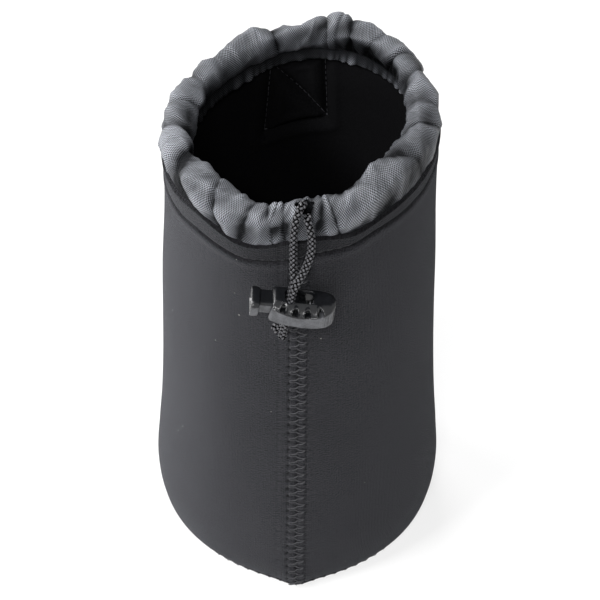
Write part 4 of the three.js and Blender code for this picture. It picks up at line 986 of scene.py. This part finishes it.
carve(barrel, [
    slot_cutter("cord_hole", CORD_HOLE, [(-6, 0), (2.6, 0), (3.2, 0.08), (3.72, 0.35), (4.5, 1.0)]),
    slot_cutter("plunger_bore", PLUNGER_BORE, [(-2.6, 0), (2.45, 0)]), *window_cutters])
frost_faces(barrel, lambda x, y, z: z < np.interp(x, cap_line[:, 0], cap_line[:, 1]) - 0.5 and y < -3.4)
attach(barrel, "cord_lock")
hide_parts("lock_barrel")

# Plunger: a flat stem with its own cord hole and a stepped, dished thumb end. Its profile says how far
# along the lock a section is, its size, and how much of it is thumb end rather than stem.
STEM_FRONT, STEM_BACK, STEM_HALF_HEIGHT = -3.1, 3.8, 2.3
THUMB_FRONT, THUMB_BACK, THUMB_HALF_HEIGHT = -4.6, 4.4, 3.0
PLUNGER_PROFILE = [
    (-12.1, 0, 1), (-12.1, 0.5, 1), (-12.15, 0.8, 1), (-12.45, 0.88, 1), (-12.6, 0.94, 1), (-12.5, 0.98, 1),
    (-12.2, 1.0, 1), (-11.4, 1, 1), (-10.6, 0.97, 1), (-10.15, 0.96, 1), (-10.0, 1.0, 0.5), (-9.9, 1.12, 0),
    (-9.7, 1.02, 0), (-9.5, 1, 0), (-6, 1, 0), (3.2, 1, 0), (5.0, 0.93, 0), (5.3, 0.84, 0), (5.3, 0, 0)]
side = np.linspace(0, 2 * np.pi, 120, endpoint=False)
square_y, square_z = squared(np.cos(side), 0.3), squared(np.sin(side), 0.36)
plunger_rings = []
for x, size, thumb in PLUNGER_PROFILE:
    front, back, half_height = [a * (1 - thumb) + b * thumb for a, b in (
        (STEM_FRONT, THUMB_FRONT), (STEM_BACK, THUMB_BACK), (STEM_HALF_HEIGHT, THUMB_HALF_HEIGHT))]
    plunger_rings.append(np.stack([np.full(len(side), x), (front + back) / 2 + square_y * (back - front) / 2 * size,
                                   square_z * half_height * size], -1))
plunger = lock_mesh("moulded_plunger", np.array(plunger_rings))
carve(plunger, [slot_cutter("plunger_hole", PLUNGER_HOLE, [(-4, 0), (4, 0)]),
                slot_cutter("spring_seat", SPRING_SEAT, [(0.4, 0), (4, 0)])])
frost_faces(plunger, lambda x, y, z: x < -6 and y < -2.7 and z < 1.6)
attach(plunger, "plunger")
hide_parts("lock_plunger")

# Spring: a coil of hard-drawn wire in the bore's closed end, built at its length at rest; the real one shortens as
# the plunger comes in.
SPRING_START, SPRING_END, SPRING_WIRE, SPRING_RADIUS = 5.55, 11.2, 0.4, 2.2
coil, node, given = new_tree("wound_coil", {
    "Curls": "Float", "Coil Radius": "Float", "Coil Length": "Float", "Wire Radius": "Float",
    "Material": "Material"})
helix = node("GeometryNodeCurveSpiral", {
    "Resolution": 32, "Rotations": given["Curls"], "Start Radius": given["Coil Radius"],
    "End Radius": given["Coil Radius"], "Height": given["Coil Length"]})
wire_section = node("GeometryNodeCurvePrimitiveCircle", {"Resolution": 10, "Radius": given["Wire Radius"]})
wire = node("GeometryNodeCurveToMesh", {"Curve": helix, "Profile Curve": wire_section, "Fill Caps": True})
finish_tree(node, wire, given["Material"])
spring = plain_mesh(path_object("spring_line", [(0, 0, 0), (0, 0, 1)]), coil, {
    "Curls": 5.0, "Coil Radius": (SPRING_RADIUS - SPRING_WIRE / 2) / 1000,
    "Coil Length": (SPRING_END - SPRING_START - SPRING_WIRE) / 1000,
    "Wire Radius": SPRING_WIRE / 2000, "Material": spring_steel}, "wound_spring")
lock_axis = Vector((math.cos(LOCK_TILT), 0, -math.sin(LOCK_TILT)))
lock_up = Vector((math.sin(LOCK_TILT), 0, math.cos(LOCK_TILT)))
lock_middle = Vector(LOCK_PLACE / 1000)
standing = Matrix([(0, lock_up.x, lock_axis.x), (1, 0, 0), (0, lock_up.z, lock_axis.z)]).to_4x4()
spring_head = lock_middle + lock_axis * (SPRING_START + SPRING_WIRE / 2) / 1000
spring.data.transform(Matrix.Translation(spring_head) @ standing)
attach(spring, "cord_lock")
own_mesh(spring)
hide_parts("lock_spring")


# ---------------------------------------------------------------------------------------------
# Belt loop: 25 mm polypropylene webbing, box-stitched to the wall at its top and foot and free
# between them, where a belt goes through.
LOOP_WIDTH = 25.0
LOOP_THICKNESS = 1.5
LOOP_TOP, LOOP_UPPER_END, LOOP_LOWER_START, LOOP_BOTTOM = 7.6, 40.0, 100.0, 124.0
LOOP_BEND = 15.0
LOOP_STANDOFF = 6.8


def loop_place(across, drop, out):
    """A point on the webbing: across its width, down from the rim and out from its inner face."""
    angle = np.pi - across / RIM_HALF_DEPTH
    sewn = wall_place(angle, 1 - drop / SEWN_HEIGHT, -0.3 - out)
    ease = np.clip(np.minimum((drop - LOOP_UPPER_END) / LOOP_BEND, (LOOP_LOWER_START - drop) / LOOP_BEND), 0, 1)
    ease = (ease * ease * (3 - 2 * ease))[..., None]
    middle = RIM_HALF_DEPTH * float(wall_share(1 - 70 / SEWN_HEIGHT, 2))
    free = np.stack([across, middle + LOOP_STANDOFF + out, sewn[..., 2]], -1)
    return sewn * (1 - ease) + free * ease


section = np.radians(np.arange(0, 360, 7.5))
section_across = squared(np.sin(section), 0.35) * LOOP_WIDTH / 2
section_out = LOOP_THICKNESS / 2 * (1 + squared(np.cos(section), 0.7))
loop_drops = np.arange(LOOP_TOP, LOOP_BOTTOM + 0.01, 0.8)
loop_across, loop_drop = np.meshgrid(section_across, loop_drops)
loop_out = np.broadcast_to(section_out, loop_across.shape)
loop_points = loop_place(loop_across, loop_drop, loop_out)
loop_uv = np.stack([loop_across, loop_drop], -1)
webbing_piece = grid_mesh("webbing_loop", loop_points, loop_uv)
# Closes the webbing's cut ends
ends = bmesh.new()
ends.from_mesh(webbing_piece.data)
bmesh.ops.holes_fill(ends, edges=[e for e in ends.edges if e.is_boundary])
bmesh.ops.recalc_face_normals(ends, faces=ends.faces)
ends.to_mesh(webbing_piece.data)
ends.free()

# Woven polypropylene webbing: coarse warp ribs with picks stepped from rib to rib, and a dull shine
RIB_PITCH, PICK_PITCH = 0.0019, 0.0013   # metres
webbing, node = new_material("woven_polypropylene_webbing")
place = node("ShaderNodeUVMap", uv_map="UVMap")
x, y, _ = node("ShaderNodeSeparateXYZ", [place]).outputs
rib = node(MATH, [node(MATH, [x, RIB_PITCH], "DIVIDE")], "FLOOR")
stagger = node(MATH, [rib, PICK_PITCH / 2], "MULTIPLY")
waves = []
for way, pitch in ((x, RIB_PITCH), (node(MATH, [y, stagger], "ADD"), PICK_PITCH)):
    wave = node(MATH, [node(MATH, [way, math.pi / pitch], "MULTIPLY")], "SINE")
    waves.append(node(MATH, [wave], "ABSOLUTE"))
weave = node(MATH, waves, "MULTIPLY")
fibre = node(NOISE, {"Vector": place, "Scale": 2500.0, "Detail": 2.0})
shade = node(MATH, [node(MATH, [weave, 0.6], "MULTIPLY"), node(MATH, [fibre, 0.4], "MULTIPLY")], "ADD")
finish_surface(node, shade, "#0a0a0b", "#28282b", {"Roughness": 0.6, "IOR": 1.49, "Sheen Weight": 0.2},
               bump=(weave, 0.8, 0.0003))
webbing_piece.data.materials.append(webbing)
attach(webbing_piece, "pouch")
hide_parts("belt_loop")


# ---------------------------------------------------------------------------------------------
# Sewing thread: twisted black polyester, about 0.35 mm thick. The same thread closes the front seam
# in a three-step zigzag, sews the base on, holds the collar and box-stitches the belt loop.
sewing_thread, node = new_material("twisted_polyester_thread")
twist = node(NOISE, {"Vector": on_object(node), "Scale": 4000.0, "Detail": 1.0})
finish_surface(node, twist, "#121214", "#3e3e43", {"Roughness": 0.5, "IOR": 1.5})

# The seam's tree: the thread swings to both sides of its line and dives at every needle hole
THREAD_STEP, THREAD_RADIUS = 0.00022, 0.00017   # metres
SLOW_SHARE = 0.58   # the share of a pitch in which the thread goes across; it comes back in the rest
seam, node, given = new_tree("sewn_thread", {
    "Pitch": "Float", "Half Width": "Float", "Holes Per Pitch": "Float", "Lift": "Float", "Sink": "Float",
    "Thread Radius": "Float", "Facing": "Float", "Material": "Material"})
line = node("GeometryNodeResampleCurve", {"Curve": given["Geometry"], "Length": THREAD_STEP}, mode="LENGTH")
along = node("GeometryNodeSplineParameter").outputs["Length"]
beats = node(MATH, [along, given["Pitch"]], "DIVIDE")
part = node(MATH, [beats], "FRACT")
across = node(MATH, [part, SLOW_SHARE], "DIVIDE")
back = node(MATH, [node(MATH, [1.0, part], "SUBTRACT"), 1 - SLOW_SHARE], "DIVIDE")
swing = node(MATH, [node(MATH, [across, back], "MINIMUM"), 2.0], "MULTIPLY")
swing = node(MATH, [swing, 1.0], "SUBTRACT")
holes = node(MATH, [beats, given["Holes Per Pitch"]], "MULTIPLY")
dive = node(MATH, [node(MATH, [holes, math.pi], "MULTIPLY")], "SINE")
dive = node(MATH, [node(MATH, [dive], "ABSOLUTE"), 0.45], "POWER")
travel = node(MATH, [given["Lift"], given["Sink"]], "ADD")
rise = node(MATH, [node(MATH, [dive, travel], "MULTIPLY"), given["Sink"]], "SUBTRACT")
level = node(VECTOR, [node("GeometryNodeInputPosition"), (1.0, 1.0, 0.0)], "MULTIPLY")
outward = node(VECTOR, [level], "NORMALIZE")
side = node(VECTOR, [node("GeometryNodeInputTangent"), outward], "CROSS_PRODUCT")
moves = []
for direction, size, factor in ((side, swing, given["Half Width"]), (outward, rise, given["Facing"])):
    moves.append(node(VECTOR, {0: direction, "Scale": node(MATH, [size, factor], "MULTIPLY")}, "SCALE"))
laid = node("GeometryNodeSetPosition", {"Geometry": line, "Offset": node(VECTOR, moves, "ADD")})
section = node("GeometryNodeCurvePrimitiveCircle", {"Resolution": 5, "Radius": given["Thread Radius"]})
skin = node("GeometryNodeCurveToMesh", {"Curve": laid, "Profile Curve": section, "Fill Caps": True})
finish_tree(node, skin, given["Material"])


def sew(name, points, cad_node, pitch=2.6, half_width=0.0, holes=1.0, facing=1.0, cyclic=False,
        lift=0.18, sink=0.55):
    """Sews along a line of points in millimetres and replaces the node of the same thread."""
    piece = plain_mesh(path_object(name + "_line", points, cyclic), seam, {
        "Pitch": pitch / 1000, "Half Width": half_width / 1000, "Holes Per Pitch": holes, "Lift": lift / 1000,
        "Sink": sink / 1000, "Thread Radius": THREAD_RADIUS, "Facing": facing, "Material": sewing_thread}, name)
    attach(piece, "pouch")
    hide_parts(cad_node)


COLLAR_STITCH = 3.2
seam_drops = np.arange(10.0, SEWN_HEIGHT - 1.0, 0.5)
sew("zigzag_front_seam", wall_place(np.zeros(len(seam_drops)), 1 - seam_drops / SEWN_HEIGHT, -0.25),
    "front_seam_thread", STITCH_PITCH, STITCH_HALF_WIDTH, 4.0, lift=0.3)
ring = np.linspace(-np.pi, np.pi, 900, endpoint=False)
sew("collar_topstitch", wall_place(ring, 1 - round_table(GROOVE_DROP, ring) / SEWN_HEIGHT, 1.0),
    "collar_stitch_outside", COLLAR_STITCH, cyclic=True, lift=0.25, sink=0.5)
above_hem = 1 - (round_table(HEM_DROP, ring) - 1.6) / SEWN_HEIGHT
sew("collar_stitch_lining", wall_place(ring, above_hem, WALL_THICKNESS + 2.1), "collar_stitch_inside",
    COLLAR_STITCH, facing=-1.0, cyclic=True, lift=0.3, sink=0.4)
sew("zigzag_base_seam", wall_place(ring, np.full(len(ring), 0.005), 0.12), "base_seam_thread",
    STITCH_PITCH, 0.7, 2.0, cyclic=True, lift=0.0, sink=0.4)


def box_line(box, place, *pressed):
    """The run of one box stitch with its diagonal, as points on the cloth."""
    a, b, c, d = box
    run = [a, c, b, a, d, c]
    points = [np.linspace(p, q, 24, endpoint=False) for p, q in zip(run, run[1:])]
    flat = np.vstack([*points, [c]])
    return place(flat[:, 0], flat[:, 1], *pressed)


def on_lining(across, drop, pressed=0.0):
    """On the lining, where the stitch has pressed it in by a depth."""
    angle = np.pi - across / (RIM_HALF_DEPTH - WALL_THICKNESS)
    return wall_place(angle, 1 - drop / SEWN_HEIGHT, WALL_THICKNESS + 0.1 - pressed)


def on_loop(across, drop):
    """On the outer face of the webbing."""
    return loop_place(across, drop, np.full(len(across), LOOP_THICKNESS))


UPPER_PRESS = 2.75   # how far the upper box stitch presses the lining in
upper_box = [(-9.2, 10.4), (9.2, 10.4), (9.2, 38.3), (-9.2, 38.3)]
lower_box = [(-9.2, 101.7), (9.2, 101.7), (9.2, 120.7), (-9.2, 120.7)]
sew("box_stitch_upper_outside", box_line(upper_box, on_loop), "upper_stitch_outside")
sew("box_stitch_upper_inside", box_line(BOX_STITCH, on_lining, UPPER_PRESS), "upper_stitch_inside", facing=-1.0)
sew("box_stitch_lower_outside", box_line(lower_box, on_loop), "lower_stitch_outside")
sew("box_stitch_lower_inside", box_line(lower_box, on_lining), "lower_stitch_inside", facing=-1.0)


# ---------------------------------------------------------------------------------------------
# The cords are attached to the pouch and their nodes hidden, once the lock that is on them is there
for cord_piece, cord_name, cord_line, cord_length in cords:
    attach(cord_piece, "pouch")
    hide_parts(cord_name)


# ---------------------------------------------------------------------------------------------
# Studio: a pale floor under a white tent, a large soft lamp on the left, a weaker one on the right,
# one above, two narrow ones in front that glint on the lock, and a strip behind the left edge
floor_mesh = bpy.data.meshes.new("studio_floor")
floor_mesh.from_pydata([(-6, -6, 0), (6, -6, 0), (6, 6, 0), (-6, 6, 0)], [], [(0, 1, 2, 3)])
floor = bpy.data.objects.new("studio_floor", floor_mesh)
bpy.context.scene.collection.objects.link(floor)
floor.location.z = -0.0004


def seen_rays(node):
    """1 for rays that come from the camera or from a mirroring or clear surface."""
    rays = node("ShaderNodeLightPath").outputs
    mirrored = node(MATH, [rays["Is Glossy Ray"], rays["Is Transmission Ray"]], "MAXIMUM")
    return node(MATH, [rays["Is Camera Ray"], mirrored], "MAXIMUM")


# White paper: matt, and lit a little from within where it is seen, so that it shows no lamp's pool
paper, node = new_material("white_paper_sweep")
grain = node(NOISE, {"Vector": on_object(node), "Scale": 900.0})
tone = node("ShaderNodeMix", {"Factor": grain, 6: linear("#f4f4f4"), 7: linear("#f8f8f8")}, data_type="RGBA")
matt = node("ShaderNodeBsdfDiffuse", {"Color": tone.outputs[2]})
white = node("ShaderNodeEmission", {"Color": (1, 1, 1, 1), "Strength": 1.0})
seen = node(MATH, [seen_rays(node), 0.75], "MULTIPLY")
node("ShaderNodeOutputMaterial", [node("ShaderNodeMixShader", [seen, matt, white])])
floor.data.materials.append(paper)

world = bpy.data.worlds.new("white_tent")
bpy.context.scene.world = world
world.use_nodes = True
world.node_tree.nodes.clear()
node = partial(add_node, world.node_tree)
tent = node("ShaderNodeBackground", {"Color": (1, 1, 1, 1), "Strength": 0.1})
backdrop = node("ShaderNodeBackground", {"Color": (1, 1, 1, 1), "Strength": 1.0})
node("ShaderNodeOutputWorld", [node("ShaderNodeMixShader", [seen_rays(node), tent, backdrop])])


def soft_lamp(name, place, aim, width, height, watts):
    """A rectangular softbox aimed at a point."""
    data = bpy.data.lights.new(name, "AREA")
    data.shape = "RECTANGLE"
    data.size, data.size_y, data.energy = width, height, watts
    lamp = bpy.data.objects.new(name, data)
    lamp.location = place
    lamp.rotation_mode = "QUATERNION"
    lamp.rotation_quaternion = (Vector(aim) - Vector(place)).to_track_quat("-Z", "Y")
    bpy.context.scene.collection.objects.link(lamp)


soft_lamp("left_softbox", (-0.9, -0.6, 1.25), (0, 0, 0.15), 0.4, 0.4, 25)
soft_lamp("top_softbox", (-0.2, 0.55, 1.2), (0, 0, 0.15), 0.4, 0.4, 10)
soft_lamp("right_softbox", (1.2, -0.1, 0.7), (0, 0, 0.12), 0.4, 0.7, 2.2)
soft_lamp("low_front_softbox", (-0.3, -1.3, 0.62), (0, 0, 0.15), 0.4, 0.14, 4)
soft_lamp("high_front_softbox", (-0.1, -0.95, 1.35), (0, 0, 0.17), 0.3, 0.12, 9)
soft_lamp("left_edge_strip", (-0.9, 0.5, 0.35), (0, 0, 0.1), 0.3, 0.9, 12)

bpy.context.scene.view_settings.view_transform = "Standard"
